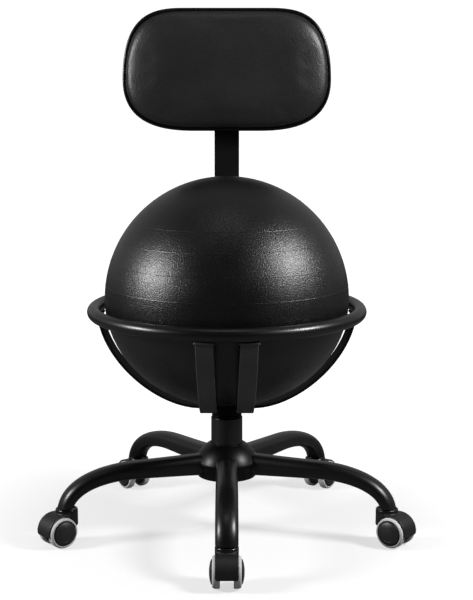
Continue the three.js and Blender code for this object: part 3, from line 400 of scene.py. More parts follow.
# %% Lamps
CHAIR_MIDDLE = COLUMN + Vector((0, 0, 0.5))
SOFTBOXES = (  # name, place, width, height, watts
    ("left_softbox", (-1.75, -0.48, 1.1), 0.42, 0.46, 34),
    ("right_softbox", (1.55, -0.54, 1.465), 0.42, 0.46, 43),
    ("overhead_softbox", (0, -0.4, 2.6), 0.9, 0.35, 2.1))
for lamp_name, place, width, height, watts in SOFTBOXES:
    bpy.ops.object.light_add(type="AREA", location=place)
    lamp = bpy.context.object
    lamp.name = lamp_name
    lamp.rotation_euler = (CHAIR_MIDDLE - lamp.location).to_track_quat("-Z", "Y").to_euler()
    lamp.data.shape = "RECTANGLE"
    lamp.data.size, lamp.data.size_y = width, height
    lamp.data.energy = watts
print("lamps:", len(SOFTBOXES))

# %% [markdown]
# The floor is pale paper that fades to white. The camera sees it paler than the chair does, so
# that it doesn't wash out the black pieces. Its glow is weaker near the chair: painted shade round
# the chair.

# %% Floor
FLOOR_SIZE = 24
FLOOR_PAINTED_SHADE_FADE = {"From Min": 0.35, "From Max": 1.1, "To Min": 0.64, "To Max": 1.1}
WHITE = linear("#ffffff")
bpy.ops.mesh.primitive_plane_add(size=FLOOR_SIZE, location=(COLUMN.x, COLUMN.y, 0))
floor = settle(bpy.context.object, "studio_floor")
paper, shader = start_finish("white_paper", Roughness=1.0, Emission_Color=WHITE)
seen = add_node(paper, "LightPath").outputs["Is Camera Ray"]
colour = add_node(paper, "Mix", {
    "Factor": seen, COLOUR_A: linear("#6a6a6a"), COLOUR_B: linear("#959595")}, data_type="RGBA")
place = add_node(paper, "TexCoord").outputs["Object"]
reach = add_node(paper, "VectorMath", {0: place}, operation="LENGTH")
# The glow that the camera sees rises with distance from the chair, so it is dimmer near the chair:
# painted shade.
painted_shade_fade = add_node(paper, "MapRange", {"Value": reach.outputs["Value"], **FLOOR_PAINTED_SHADE_FADE})
glow = add_node(paper, "Math", {0: seen, 1: painted_shade_fade.outputs["Result"]}, operation="MULTIPLY")
wire(paper, shader, Base_Color=colour.outputs[COLOUR_RESULT], Emission_Strength=glow.outputs["Value"])
floor.data.materials.append(paper)

# %% [markdown]
# The background is white to the camera. To the chair it is a dim room that grows lighter at the
# back, which lights the outlines.

# %% Background
ROOM_GLOW = {"From Min": -0.3, "From Max": 0.9, "To Min": 0.02, "To Max": 0.35}
world = bpy.data.worlds.new("white_studio")
bpy.context.scene.world = world
world.use_nodes = True
room = world.node_tree.nodes["Background"]
room.inputs["Color"].default_value = WHITE
backdrop = add_node(world, "Background", {"Color": WHITE, "Strength": 1.1})
direction = add_node(world, "TexCoord").outputs["Generated"]
parts = add_node(world, "SeparateXYZ", {"Vector": direction})
behind = add_node(world, "MapRange", {"Value": parts.outputs["Y"], **ROOM_GLOW})
wire(world, room, Strength=behind.outputs["Result"])
seen = add_node(world, "LightPath").outputs["Is Camera Ray"]
choice = add_node(world, "MixShader", {
    "Fac": seen, 1: room.outputs["Background"], 2: backdrop.outputs["Background"]})
wire(world, world.node_tree.nodes["World Output"], Surface=choice.outputs["Shader"])
bpy.context.scene.view_settings.view_transform = "Standard"
print("floor and background ready")

# %% [markdown]
# Steel is sprayed with black powder and baked: semi-gloss, with a faint orange peel about two
# millimetres across that is smoother on the ring. The cast hub's rough skin gives soft highlights.
# The front straps' coarser coat is coloured greyer: painted light on their lit faces. The side
# straps, plate and cap are cured matt and coloured deeper black: painted shade, under and beside the
# ball. Column and bar have a smoother satin enamel.

# %% Powder coats
powder_coat = grained("semi_gloss_powder_coat", 2.2, 0.035, (0.31, 0.39), ("#050505", "#0a0a0a"),
                      IOR=1.5)
ring_coat = grained("glossy_powder_coat", 2.6, 0.02, (0.3, 0.36), ("#060606", "#0b0b0b"), IOR=1.5)
coated_casting = grained("coated_casting", 2.0, 0.08, (0.34, 0.4), ("#020202", "#050505"), IOR=1.5,
                         Specular_IOR_Level=0.22)
# A greyer copy of the black coat: painted light.
textured_coat_painted_light = grained("textured_powder_coat_painted_light", 1.8, 0.08, (0.42, 0.5), ("#454546", "#525253"),
                        IOR=1.5)
# A darker, matt copy of the black coat: painted shade.
matt_coat_painted_shade = grained("matt_powder_coat_painted_shade", 1.8, 0.05, (0.5, 0.58), ("#030303", "#060606"), IOR=1.5,
                    Specular_IOR_Level=0.12)
satin_enamel = grained("satin_black_enamel", 3.0, 0.015, (0.3, 0.38), ("#080808", "#0d0d0e"), IOR=1.5)

# %% [markdown]
# Hoods and knob are moulded nylon with a spark-eroded texture of 0.3 mm, drawn five times as
# coarse so that it shows. The wheels' caps are finer, and are coloured paler for the side light
# that falls on them: painted light. The backrest's rim and the casters' collars are polished
# polypropylene, which reflects the softboxes as clear lines.

# %% Mouldings
moulded_nylon = grained("spark_textured_nylon", 1.5, 0.12, (0.4, 0.52), ("#040404", "#0b0b0c"),
                        IOR=1.53)
# A paler copy of the nylon: painted light on the wheels' caps.
cap_nylon_painted_light = grained("fine_textured_nylon_painted_light", 1.2, 0.05, (0.38, 0.46), ("#1c1c1d", "#262627"), IOR=1.53)
polished_plastic = grained("polished_polypropylene", 4.0, 0.006, (0.22, 0.3), ("#070708", "#0c0c0d"),
                           IOR=1.49)

# %% [markdown]
# The tyres are cast grey polyurethane, matt and a little dusty from use.

# %% Grey polyurethane
grey_polyurethane = grained("cast_grey_polyurethane", 1.4, 0.04, (0.45, 0.6), ("#c9c9c7", "#d8d8d6"),
                            IOR=1.5)

# %% [markdown]
# Axles, bearing and screws are bright zinc-plated steel. The plating of the caster stems is
# blackened, so they stay dark between hood and arm.

# %% Zinc plate
zinc_plate = grained("bright_zinc_plate", 1.0, 0.01, (0.28, 0.4), ("#a9acb0", "#c3c6c9"), Metallic=1.0)
black_zinc = grained("black_zinc_plate", 1.0, 0.01, (0.4, 0.5), ("#1a1a1b", "#242425"), Metallic=1.0)

# %% [markdown]
# The ball's skin is matt PVC with a pressed pebble grain. Its round bumps, drawn almost two
# millimetres wide, break up the highlights.

# %% Ball skin
ball_skin = grained("pebbled_pvc", 1.7, 0.42, (0.32, 0.4), ("#030304", "#09090a"), detail=0.0, IOR=1.52)

# %% [markdown]
# Leatherette is PVC on cloth, embossed with a hide grain. A Voronoi texture gives its cells, and
# noise bends their edges so that they don't look like tiles. The grooves between the cells are
# coloured darker: painted shade.

# %% Leatherette
CELL, WANDER, WANDER_REACH, WORN_PATCH, EMBOSSING = 2.2, 5, 1.4, 90, 0.42
leatherette, shader = start_finish("hide_grain_leatherette", IOR=1.5)
place = add_node(leatherette, "TexCoord").outputs["Object"]
wander = add_node(leatherette, "TexNoise", {
    "Vector": place, "Scale": 1 / (WANDER * MM), "Detail": 2.0})
offset = add_node(leatherette, "VectorMath", {
    0: wander.outputs["Color"], 1: (WANDER_REACH * MM,) * 3}, operation="MULTIPLY")
bent = add_node(leatherette, "VectorMath", {0: place, 1: offset.outputs["Vector"]},
                operation="ADD")
cells = add_node(leatherette, "TexVoronoi", {
    "Vector": bent.outputs["Vector"], "Scale": 1 / (CELL * MM)}, feature="SMOOTH_F1")
grooves_and_painted_shade = cells.outputs["Distance"]
bump = add_node(leatherette, "Bump", {
    "Height": grooves_and_painted_shade, "Strength": 0.9, "Distance": EMBOSSING * MM}, invert=True)
worn = add_node(leatherette, "TexNoise", {
    "Vector": place, "Scale": 1 / (WORN_PATCH * MM), "Detail": 4.0})
gloss = add_node(leatherette, "MapRange", {
    "Value": worn.outputs["Fac"], "To Min": 0.38, "To Max": 0.46, **NOISE})
# The grooves are coloured darker than the cells' middles: painted shade.
colour = add_node(leatherette, "Mix", {
    "Factor": grooves_and_painted_shade, COLOUR_A: linear("#222223"), COLOUR_B: linear("#111112")}, data_type="RGBA")
wire(leatherette, shader, Normal=bump.outputs["Normal"], Roughness=gloss.outputs["Result"],
     Base_Color=colour.outputs[COLOUR_RESULT])
print("finishes:", len(bpy.data.materials))

# %% [markdown]
# The ball is 460 mm across. A sphere is squeezed below, where the plate presses on it, and cut
# flat where it stands.

# %% Ball
BALL_RADIUS = 230
BALL_LOWER_DROP = 203
BALL_WIDEST = 450
BALL_FLAT = 252.5
BALL_FLAT_EDGE = 4
ball_middle = COLUMN + Vector((0, 0, BALL_WIDEST * MM))
clear_selection()
bpy.ops.mesh.primitive_uv_sphere_add(
    segments=160, ring_count=80, radius=BALL_RADIUS * MM, location=ball_middle)
ball = settle(bpy.context.object, "ball_skin")
select_where(ball, "VERT", lambda v: v.co.z < ball_middle.z - MM / 10)
bpy.ops.transform.resize(value=(1, 1, BALL_LOWER_DROP / BALL_RADIUS), center_override=ball_middle)
cut(Z, BALL_FLAT, keep="above")
round_where(ball, lambda e: lies_at(e, Z, BALL_FLAT) and e.calc_face_angle(0) > 0.1,
            BALL_FLAT_EDGE, 4)

# %% [markdown]
# Raised rings stop the ball from slipping. Each is five cuts, and the middle one is pushed out
# along the skin's normals.

# %% Grip rings of the ball
GRIP_RING_HEIGHTS = (346, 380.5, 422, 478, 522.5, 563, 598, 633)
GRIP_RING_HALF_WIDTH = 0.65
GRIP_RING_RISE = 0.32
for height in GRIP_RING_HEIGHTS:
    for step in (-2, -1, 0, 1, 2):
        cut(Z, height + step * GRIP_RING_HALF_WIDTH)
    select_where(ball, "VERT", lambda v: abs(v.co.z / MM - height) < 0.01)
    bpy.ops.transform.shrink_fatten(value=GRIP_RING_RISE * MM)
smooth(ball)
hand_over(ball, "ball", "exercise_ball", ball_skin)
print("ball:", len(ball.data.polygons), "faces")

# %% [markdown]
# The filling plug sits low at the back. It is turned upright at the origin, then set on the skin
# along the skin's own normal.

# %% Filling plug
PLUG_AZIMUTH = radians(145)
PLUG_DROP = 55
plug_reach = BALL_RADIUS * cos(asin(PLUG_DROP / BALL_LOWER_DROP))
outward = Vector((0, -plug_reach / BALL_RADIUS ** 2, -PLUG_DROP / BALL_LOWER_DROP ** 2)).normalized()
plug = turned("ball_filling_plug", [
    (0, -15.2), (4.3, -15.2), (4.5, -1.2), (8, -1.2), (8, 0.4), (6.8, 0.8), (5.6, 0.8), (5.2, 0.2),
    (2.2, 0.2), (1.8, 0.7), (0, 0.8)], steps=40)
soften(plug, 0.25, segments=2)
carry(plug, about_column(PLUG_AZIMUTH)
      @ Matrix.Translation((0, -plug_reach * MM, (BALL_WIDEST - PLUG_DROP) * MM))
      @ outward.to_track_quat("Z", "Y").to_matrix().to_4x4())
hand_over(plug, "ball", "ball_plug", moulded_nylon)

# %% [markdown]
# The ring is 25 mm tube, bent and butt-welded. A torus is the tube, and a narrow band of it is
# fattened to the ground weld.

# %% Support ring
RING_RADIUS = 251
RING_TUBE_RADIUS = 12.5
RING_HEIGHT = 428
JOINT_AZIMUTH, JOINT_HALF_BAND, JOINT_RISE = 22.5, 0.4, 0.6
ring_middle = COLUMN + Vector((0, 0, RING_HEIGHT * MM))
clear_selection()
bpy.ops.mesh.primitive_torus_add(
    major_segments=192, minor_segments=32, major_radius=RING_RADIUS * MM,
    minor_radius=RING_TUBE_RADIUS * MM, location=ring_middle)
ring = settle(bpy.context.object, "cradle_ring")


def azimuth_of(point):
    """Where a point stands round the ring, in degrees from its back."""
    place = point.co - ring_middle
    return degrees(atan2(place.x, place.y))


select_where(ring, "VERT", lambda v: abs(azimuth_of(v) - JOINT_AZIMUTH) < JOINT_HALF_BAND)
bpy.ops.transform.shrink_fatten(value=JOINT_RISE * MM)
smooth(ring)
hand_over(ring, "seat", "support_ring", ring_coat)
print("ring:", len(ring.data.polygons), "faces")

# %% [markdown]
# Each cradle strap is 32 by 5 mm steel, bent flat under the plate, then round the ball and up to
# the ring. A line as wide as the strap is extruded along a Bezier curve, and Solidify thickens it.

# %% Bent straps
STRAP_THICKNESS = 5
STRAP_BOTTOM = 236.9
STRAP_TOP = STRAP_BOTTOM + STRAP_THICKNESS
STRAP_INNER_END = 32.5
STRAP_FLAT_END, STRAP_LOWER_HANDLE = 55, (144, STRAP_BOTTOM)
FRONT_STRAP_FLAT_END, FRONT_STRAP_LOWER_HANDLE = 34, (100, STRAP_BOTTOM + 3.5)
STRAP_STEPS = 60


def bezier(handles, share):
    """A point of a cubic Bezier curve."""
    a, b, c, d = (Vector(handle) for handle in handles)
    rest = 1 - share
    return rest ** 3 * a + 3 * rest ** 2 * share * b + 3 * rest * share ** 2 * c + share ** 3 * d


def side_view(handles, straight_end=()):
    """A strap's middle line as (outward, upward) points, from its outer face."""
    face = [Vector((STRAP_INNER_END, handles[0][1]))]
    face += [bezier(handles, step / STRAP_STEPS) for step in range(STRAP_STEPS + 1)]
    face += [Vector((handles[3][0], height)) for height in straight_end]
    middle = []
    for place, point in enumerate(face):
        before, after = face[max(place - 1, 0)], face[min(place + 1, len(face) - 1)]
        along = (after - before).normalized()
        middle.append(point + Vector((-along.y, along.x)) * STRAP_THICKNESS / 2)
    return middle


def upright(height):
    """How far a strap that stands straight leans sideways."""
    return 0


def strap(name, line, width, azimuth, aside=upright):
    """Extrudes a strap along its side view, out in one direction."""
    out = Vector((sin(azimuth), -cos(azimuth), 0))
    across = Vector((cos(azimuth), sin(azimuth), 0))
    places = [out * outward + Vector((0, 0, height)) + across * aside(height)
              for outward, height in line]
    piece = draw_line([places[0] - across * width / 2, places[0] + across * width / 2])
    select_all()
    for here, there in zip(places, places[1:]):
        extrude((there - here) * MM)
    face_outwards()
    put(piece, COLUMN, name)
    finish_with(piece, "SOLIDIFY", thickness=STRAP_THICKNESS * MM, offset=0, use_even_offset=True)
    return soften(piece, 1.1, sharp=50)


def outside_tube(line, aside):
    """Drops the part of a strap's line inside the ring's tube."""
    kept = []
    for outward, height in line:
        reach = hypot(outward, aside(height))
        if hypot(reach - RING_RADIUS, height - RING_HEIGHT) < RING_TUBE_RADIUS - 1.5:
            break
        kept.append(Vector((outward, height)))
    return kept


def strap_handles(top_radius, flat_end, lower_handle):
    """Handles of a strap's outer face, from the plate to the ring."""
    top = (top_radius + STRAP_THICKNESS / 2, RING_HEIGHT)
    lean = radians(1)
    reach = 0.52 * (RING_HEIGHT - STRAP_BOTTOM)
    return ((flat_end, STRAP_BOTTOM), lower_handle,
            (top[0] + sin(lean) * reach, top[1] - cos(lean) * reach), top)

# %% [markdown]
# The two front straps lean apart on their way up. All four stop at the ring's tube.

# %% Four straps
STRAP_WIDTH = 32
SIDE_STRAP_AZIMUTH = radians(103)
FRONT_STRAP_OFFSET = 34
FRONT_STRAP_SPREAD = 6
front_reach = sqrt(RING_RADIUS ** 2 - (FRONT_STRAP_OFFSET + FRONT_STRAP_SPREAD) ** 2)
front_handles = strap_handles(front_reach, FRONT_STRAP_FLAT_END, FRONT_STRAP_LOWER_HANDLE)
side_handles = strap_handles(RING_RADIUS, STRAP_FLAT_END, STRAP_LOWER_HANDLE)
strap_ends = []
for side_name, side in SIDES:
    def leaning(height, side=side):
        """How far a front strap stands from the middle at one height."""
        rise = max(height - STRAP_TOP, 0) / (RING_HEIGHT - STRAP_TOP)
        return side * (FRONT_STRAP_OFFSET + FRONT_STRAP_SPREAD * rise)

    # The front straps take the greyer coat, which is painted light. The side straps take the darker
    # one, which is painted shade.
    for kind, handles, azimuth, aside, coat in (
            ("front", front_handles, 0, leaning, textured_coat_painted_light),
            ("side", side_handles, side * SIDE_STRAP_AZIMUTH, upright, matt_coat_painted_shade)):
        node_name = f"{kind}_strap_{side_name}"
        line = outside_tube(side_view(handles), aside)
        piece = strap(f"{kind}_strap_steel_{side_name}", line, STRAP_WIDTH, azimuth, aside)
        hand_over(piece, "seat", node_name, coat)
        strap_ends.append((node_name, line[-1], azimuth, aside(line[-1].y)))
print("straps end at", [round(end.y, 1) for _, end, _, _ in strap_ends], "mm")

# %% [markdown]
# A fillet weld is a low, rippled bead: a block larger than the strap's end, rounded and finely
# displaced.

# %% Fillet welds
WELD_THROAT = 2.8
WELD_HEIGHT = 6
WELD_SINK = 0.6
weld_ripple = bpy.data.textures.new("weld_ripple", "CLOUDS")
weld_ripple.noise_scale = 2.6 * MM


def weld(name, size, matrix, node):
    """A rounded weld bead, set in place by a matrix."""
    clear_selection()
    bpy.ops.mesh.primitive_cube_add(size=MM)
    bead = bpy.context.object
    bead.scale = size
    settle(bead, name)
    finish_with(bead, "BEVEL", width=0.48 * min(size) * MM, segments=5)
    finish_with(bead, "REMESH", mode="VOXEL", voxel_size=0.8 * MM)
    finish_with(bead, "DISPLACE", texture=weld_ripple, strength=0.7 * MM, mid_level=0.5,
                texture_coords="LOCAL")
    finish_with(bead, "SMOOTH", factor=0.5, iterations=2)
    smooth(bead)
    carry(bead, matrix)
    hand_over(bead, "seat", node, textured_coat_painted_light)


BEAD = (STRAP_WIDTH + 2 * WELD_THROAT, STRAP_THICKNESS + 2 * WELD_THROAT, WELD_HEIGHT)
for node_name, end, azimuth, offset in strap_ends:
    place = Vector((offset, -end.x, end.y - WELD_SINK)) * MM
    weld(f"{node_name}_weld", BEAD, about_column(azimuth) @ Matrix.Translation(place), node_name)
print("welds:", len(strap_ends))

# %% [markdown]
# The plate is flame-cut 10 mm steel. Screws hold the side and rear straps to it, and the front
# straps are welded on.

# %% Cradle plate
PLATE_EDGE = 52
PLATE_FRONT_EDGE = 39
PLATE_BOTTOM, PLATE_TOP = 242.2, 252.2
PLATE_CORNER = 14
plate = block("cradle_plate_steel", (-PLATE_EDGE, -PLATE_FRONT_EDGE, PLATE_BOTTOM),
              (PLATE_EDGE, PLATE_EDGE, PLATE_TOP))
round_where(plate, lambda e: runs_along(e, Z), PLATE_CORNER, 10)
soften(plate, 0.8)
# The plate's darker coat is painted shade.
hand_over(plate, "seat", "cradle_plate", matt_coat_painted_shade)


def set_screws(name, radius, height, places, turn, body, node):
    """Button-head screws at places in millimetres, turned to their face."""
    profile = [(0, -2), (0.5 * radius, -2), (0.5 * radius, 0), (radius, 0), (radius, 0.25 * height),
               (0.93 * radius, 0.6 * height), (0.72 * radius, 0.9 * height), (0.55 * radius, height),
               (0, height)]
    head = turned(name, profile, steps=40)
    hexagon = rod("socket", 0.55 * radius, (0, 0, 0.35 * height), (0, 0, 2 * height), sides=6)
    combine(head, hexagon, "DIFFERENCE")
    soften(head, 0.15, segments=2)
    for number, place in enumerate(places):
        copy = copy_to(head, f"{name}_{number + 1}", at(*place) @ turn)
        hand_over(copy, body, node, zinc_plate)
    bpy.data.objects.remove(head)


set_screws("cradle_screw", 4.5, 2.0,
           [(x, y, STRAP_BOTTOM) for x, y in ((-42.9, 9.9), (42.9, 9.9), (-14, 44), (14, 44))],
           Matrix.Rotation(pi, 4, "X"), "seat", "cradle_plate")
for side_name, side in SIDES:
    foot = at(side * FRONT_STRAP_OFFSET, -STRAP_INNER_END + 1, PLATE_BOTTOM - 1.2)
    weld(f"front_strap_{side_name}_foot_weld", (STRAP_WIDTH - 3, 4.4, 4.4), foot,
         f"front_strap_{side_name}")

# %% [markdown]
# The rear strap is wider, because it carries the backrest. It stands upright in the clamp, a
# folded channel in which the flat bar slides.

# %% Rear support and clamp
SUPPORT_WIDTH = 50
SUPPORT_FACE = 268.8
SUPPORT_INNER = SUPPORT_FACE - STRAP_THICKNESS
CLAMP_LOW, CLAMP_HIGH, CLAMP_BACK, CLAMP_HALF_WIDTH = 442, 512, 278.6, 28.4
CLAMP_FOLD = 4
SLOT_HALF_WIDTH = 25.4
SLOT_PLAY = 0.4
BAR_WIDTH, BAR_FRONT, BAR_BACK = 50, 269.2, 275.2
KNOB_HEIGHT = 477
NUT_RADIUS, STUD_HOLE_RADIUS = 9, 4.3
handles = ((STRAP_FLAT_END, STRAP_BOTTOM), (155, STRAP_BOTTOM), (SUPPORT_FACE, 308),
           (SUPPORT_FACE, 398))
support_line = side_view(handles, straight_end=(440, CLAMP_HIGH))
support = strap("rear_support_steel", support_line, SUPPORT_WIDTH, pi)
hand_over(support, "seat", "rear_support", textured_coat_painted_light)

channel = block("clamp_channel", (-CLAMP_HALF_WIDTH, SUPPORT_INNER + SLOT_PLAY, CLAMP_LOW),
                (CLAMP_HALF_WIDTH, CLAMP_BACK, CLAMP_HIGH))
round_where(channel, lambda e: runs_along(e, Z)
            and e.verts[0].co.y > COLUMN.y + CLAMP_BACK * MM - MM / 10, CLAMP_FOLD, 5)
slot_cut = block("slot", (-SLOT_HALF_WIDTH, SUPPORT_INNER - 5, CLAMP_LOW - 5),
                 (SLOT_HALF_WIDTH, BAR_BACK + SLOT_PLAY, CLAMP_HIGH + 5))
combine(channel, slot_cut, "DIFFERENCE")
nut = rod("nut", NUT_RADIUS, (0, CLAMP_BACK - 1, KNOB_HEIGHT), (0, CLAMP_BACK + 8, KNOB_HEIGHT),
          sides=6)
combine(channel, put(nut, COLUMN), "UNION")
stud_hole = rod("hole", STUD_HOLE_RADIUS, (0, BAR_BACK - 2, KNOB_HEIGHT),
                (0, CLAMP_BACK + 20, KNOB_HEIGHT), sides=40)
combine(channel, put(stud_hole, COLUMN), "DIFFERENCE")
soften(channel, 0.6, segments=2, sharp=40)
hand_over(channel, "seat", "rear_support", powder_coat)
for side_name, side in SIDES:
    weld(f"clamp_weld_{side_name}", (9, 5.5, 4.2),
         at(side * 27.2, SUPPORT_INNER + 2.6, CLAMP_LOW - 0.4), "rear_support")

# %% [markdown]
# The knob is a six-lobed moulded grip on a steel stud: a ring of points with six hollows,
# extruded, inset and rounded.

# %% Clamp knob
KNOB_RADIUS = 19
KNOB_LOBES = 6
KNOB_HOLLOW = 2.6
KNOB_FRONT, KNOB_BACK = 287.2, 304.2
KNOB_FACE = ((5.5, -1.6), (2.5, 0.9))  # how far each inset runs in, and then up
clear_selection()
bpy.ops.mesh.primitive_circle_add(vertices=120, radius=KNOB_RADIUS * MM, fill_type="NGON")
knob = bpy.context.object
for point in knob.data.vertices:
    angle = atan2(point.co.y, point.co.x)
    hollow = KNOB_HOLLOW * (1 - cos(KNOB_LOBES * angle)) / 2
    point.co *= (KNOB_RADIUS - hollow) / KNOB_RADIUS
edit(knob)
select_all()
extrude((0, 0, (KNOB_BACK - KNOB_FRONT) * MM))
for run, rise in KNOB_FACE:
    bpy.ops.mesh.inset(thickness=run * MM)
    bpy.ops.transform.translate(value=(0, 0, rise * MM))
face_outwards()
settle(knob, "knob_grip")
soften(knob, 1.7, segments=4, sharp=50)
to_back = at(0, KNOB_FRONT, KNOB_HEIGHT) @ FACING_BACK
carry(knob, to_back)
hand_over(knob, "clamp_knob", "height_clamp_knob", moulded_nylon)
thread = [(4 - 0.35 * (step % 2), -10.5 + 0.7 * step) for step in range(15)]
stud = turned("knob_stud", [
    (0, -11.7), (3.2, -11.7), (4, -10.9), *thread, (4, 0), (7.5, 0), (7.5, 0.4), (0, 0.4)], steps=32)
carry(stud, to_back)
smooth(stud, 30)
hand_over(stud, "clamp_knob", "height_clamp_knob", zinc_plate)
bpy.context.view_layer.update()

# %% [markdown]
# The hub is a cast dome, hollow below. Its profile is a shoulder and part of a circle, outside and
# inside.

# %% Hub
HUB_RADIUS = 56
HUB_BOTTOM, HUB_SHOULDER, HUB_TOP = 105.5, 136, 170
HUB_BORE = 30.3
HUB_WALL = 4
DOME_RADIUS, DOME_MIDDLE = 67, 112
DOME_LOW = asin((HUB_SHOULDER - DOME_MIDDLE) / DOME_RADIUS)
DOME_HIGH = asin((HUB_TOP - DOME_MIDDLE) / DOME_RADIUS)


def dome(radius):
    """The dome's curve at one radius, from its shoulder to its top."""
    angles = [DOME_LOW + (DOME_HIGH - DOME_LOW) * step / 24 for step in range(25)]
    return [(radius * cos(angle), DOME_MIDDLE + radius * sin(angle)) for angle in angles]


lip = ((DOME_RADIUS * cos(DOME_LOW), HUB_SHOULDER), (64, 131), (59, 126), (HUB_RADIUS, 121))
foot = (HUB_RADIUS - HUB_WALL, HUB_BOTTOM)
profile = [foot, (HUB_RADIUS, HUB_BOTTOM), *[tuple(bezier(lip, 1 - step / 8)) for step in range(8)],
           *dome(DOME_RADIUS), (HUB_BORE, HUB_TOP), (HUB_BORE, HUB_TOP - HUB_WALL),
           *dome(DOME_RADIUS - HUB_WALL)[-2::-1], foot]
hub = turned("hub_dome", profile)
soften(hub, 1.6, segments=4, sharp=45)
hand_over(put(hub, COLUMN), "base", "base_hub", coated_casting)

# %% [markdown]
# The column is a plain sleeve. Over it turns the spindle's cap, with a groove for the seal and
# half a millimetre of play.

# %% Column sleeve and spindle
sleeve = turned("column_tube", [
    (24, 114), (30, 114), (30, 221), (26.5, 221), (26.5, 212), (24, 212), (24, 114)])
soften(sleeve, 1.2)
hand_over(put(sleeve, COLUMN), "base", "column_sleeve", satin_enamel)
spindle = turned("swivel_cap", [
    (0, 116), (12.5, 116), (12.5, 221.6), (28.5, 221.6), (28.5, 225.6), (27.3, 225.9), (27.3, 227.5),
    (28.5, 227.9), (28.5, 239.4), (27, 241.9), (0, 241.9)])
soften(spindle, 0.7, sharp=25)
# The cap's darker coat is painted shade.
hand_over(put(spindle, COLUMN), "seat", "swivel_spindle", matt_coat_painted_shade)
print("hub and column ready")

# %% [markdown]
# Each arm is bent oval tube. Its middle line runs straight out from the hub, then down a Bezier
# curve to the caster.

# %% Arm path
ARM_ROOT = Vector((44, 131))
ARM_BEND = Vector((178, 131))
ARM_END = Vector((317, 71))
ARM_SLOPE = radians(74)
ARM_HANDLE = 42
ARM_OVERRUN = 14
down = Vector((cos(ARM_SLOPE), -sin(ARM_SLOPE)))
arm_handles = (ARM_BEND, (248, 131), ARM_END - down * ARM_HANDLE, ARM_END)
arm_line = [ARM_ROOT.lerp(ARM_BEND, step / 12) for step in range(12)]
arm_line += [bezier(arm_handles, step / 30) for step in range(31)]
arm_line.append(ARM_END + down * ARM_OVERRUN)
travelled = [0.0]
for here, there in zip(arm_line, arm_line[1:]):
    travelled.append(travelled[-1] + (there - here).length)
print("arm:", round(travelled[-2], 1), "mm along its middle")

# %% [markdown]
# One ring of points per station is laid across that line. The section is nearly square at the hub
# and rounder at the caster, where it is cut off level.

# %% Arms
ARM_POINTS = 56
ARM_ROOT_SQUARENESS, ARM_END_SQUARENESS = 2.7, 2.0
ARM_WIDTH, ARM_ROOT_DEPTH, ARM_END_DEPTH = 41, 43, 28
PLACES = {  # the azimuth of each arm, and the way that its caster trails
    "front": (0, 0), "right_front": (72, 52.5), "right_rear": (144, 144),
    "left_rear": (-144, -144), "left_front": (-72, -52.5)}


def oval(value, half, squareness):
    """One coordinate of an oval. Squareness 2 is an ellipse, and more is boxier."""
    return copysign(abs(value) ** (2 / squareness), value) * half


clear_selection()
bpy.ops.mesh.primitive_circle_add(vertices=ARM_POINTS, radius=MM, fill_type="NGON")
arm = bpy.context.object
edit(arm)
select_all()
for station in range(1, len(arm_line)):
    extrude((0, 0, MM))
clear_selection()
for point in arm.data.vertices:
    station = round(point.co.z / MM)
    before = arm_line[max(station - 1, 0)]
    after = arm_line[min(station + 1, len(arm_line) - 1)]
    along = (after - before).normalized()
    share = min(travelled[station] / travelled[-2], 1)
    half_depth = (ARM_ROOT_DEPTH + (ARM_END_DEPTH - ARM_ROOT_DEPTH) * share ** 0.65) / 2
    angle = atan2(point.co.y, point.co.x)
    squareness = ARM_ROOT_SQUARENESS + (ARM_END_SQUARENESS - ARM_ROOT_SQUARENESS) * share ** 2
    sideways = oval(cos(angle), ARM_WIDTH / 2, squareness)
    upwards = oval(sin(angle), half_depth, squareness)
    outward_reach = arm_line[station].x - along.y * upwards
    point.co = Vector((sideways, -outward_reach, arm_line[station].y + along.x * upwards)) * MM
edit(arm)
face_outwards()
cut(Z, ARM_END.y, keep="above")
soften(arm, 5, segments=6, sharp=50)
for place_name, (azimuth, _) in PLACES.items():
    copy = copy_to(arm, f"{place_name}_arm_tube", about_column(radians(azimuth)))
    hand_over(copy, "base", f"{place_name}_arm", powder_coat)
bpy.data.objects.remove(arm)
print("arms:", len(PLACES))

# %% [markdown]
# A caster's hood is one nylon moulding. A cylinder, a block and the neck are joined, wells and
# lower corners are cut, and a fine remesh melts the joints as a mould does. The neck is polished.

# %% Caster hood
TRAIL = 20
AXLE_HEIGHT = 29
HOOD_RADIUS = 32.3
HOOD_HALF_WIDTH = 20.5
HOOD_LOW = 23
HOOD_CORNER = 5
WEB_HALF_WIDTH = 9
WELL_RADIUS = 30.5
NECK_TOP = 69
POLISHED_FROM = 62.5
PAST = 5  # how far a cutting tool reaches past what it cuts
hood = rod("hood", HOOD_RADIUS, (-HOOD_HALF_WIDTH, -TRAIL, AXLE_HEIGHT),
           (HOOD_HALF_WIDTH, -TRAIL, AXLE_HEIGHT), sides=128)
edit(hood)
cut(Y, -TRAIL, keep="below")
cut(Z, HOOD_LOW, keep="above")
bridge = block("bridge", (-HOOD_HALF_WIDTH, -TRAIL - 0.2, HOOD_LOW),
               (HOOD_HALF_WIDTH, 0, AXLE_HEIGHT + HOOD_RADIUS))
combine(hood, put(bridge, -COLUMN), "UNION")
neck = turned("neck", [
    (0, HOOD_LOW), (9, HOOD_LOW), (21, 38), (21, 66.4), (20.6, 67.9), (19.4, NECK_TOP), (0, NECK_TOP)])
combine(hood, neck, "UNION")
front, rear = -TRAIL - HOOD_RADIUS - PAST, -TRAIL
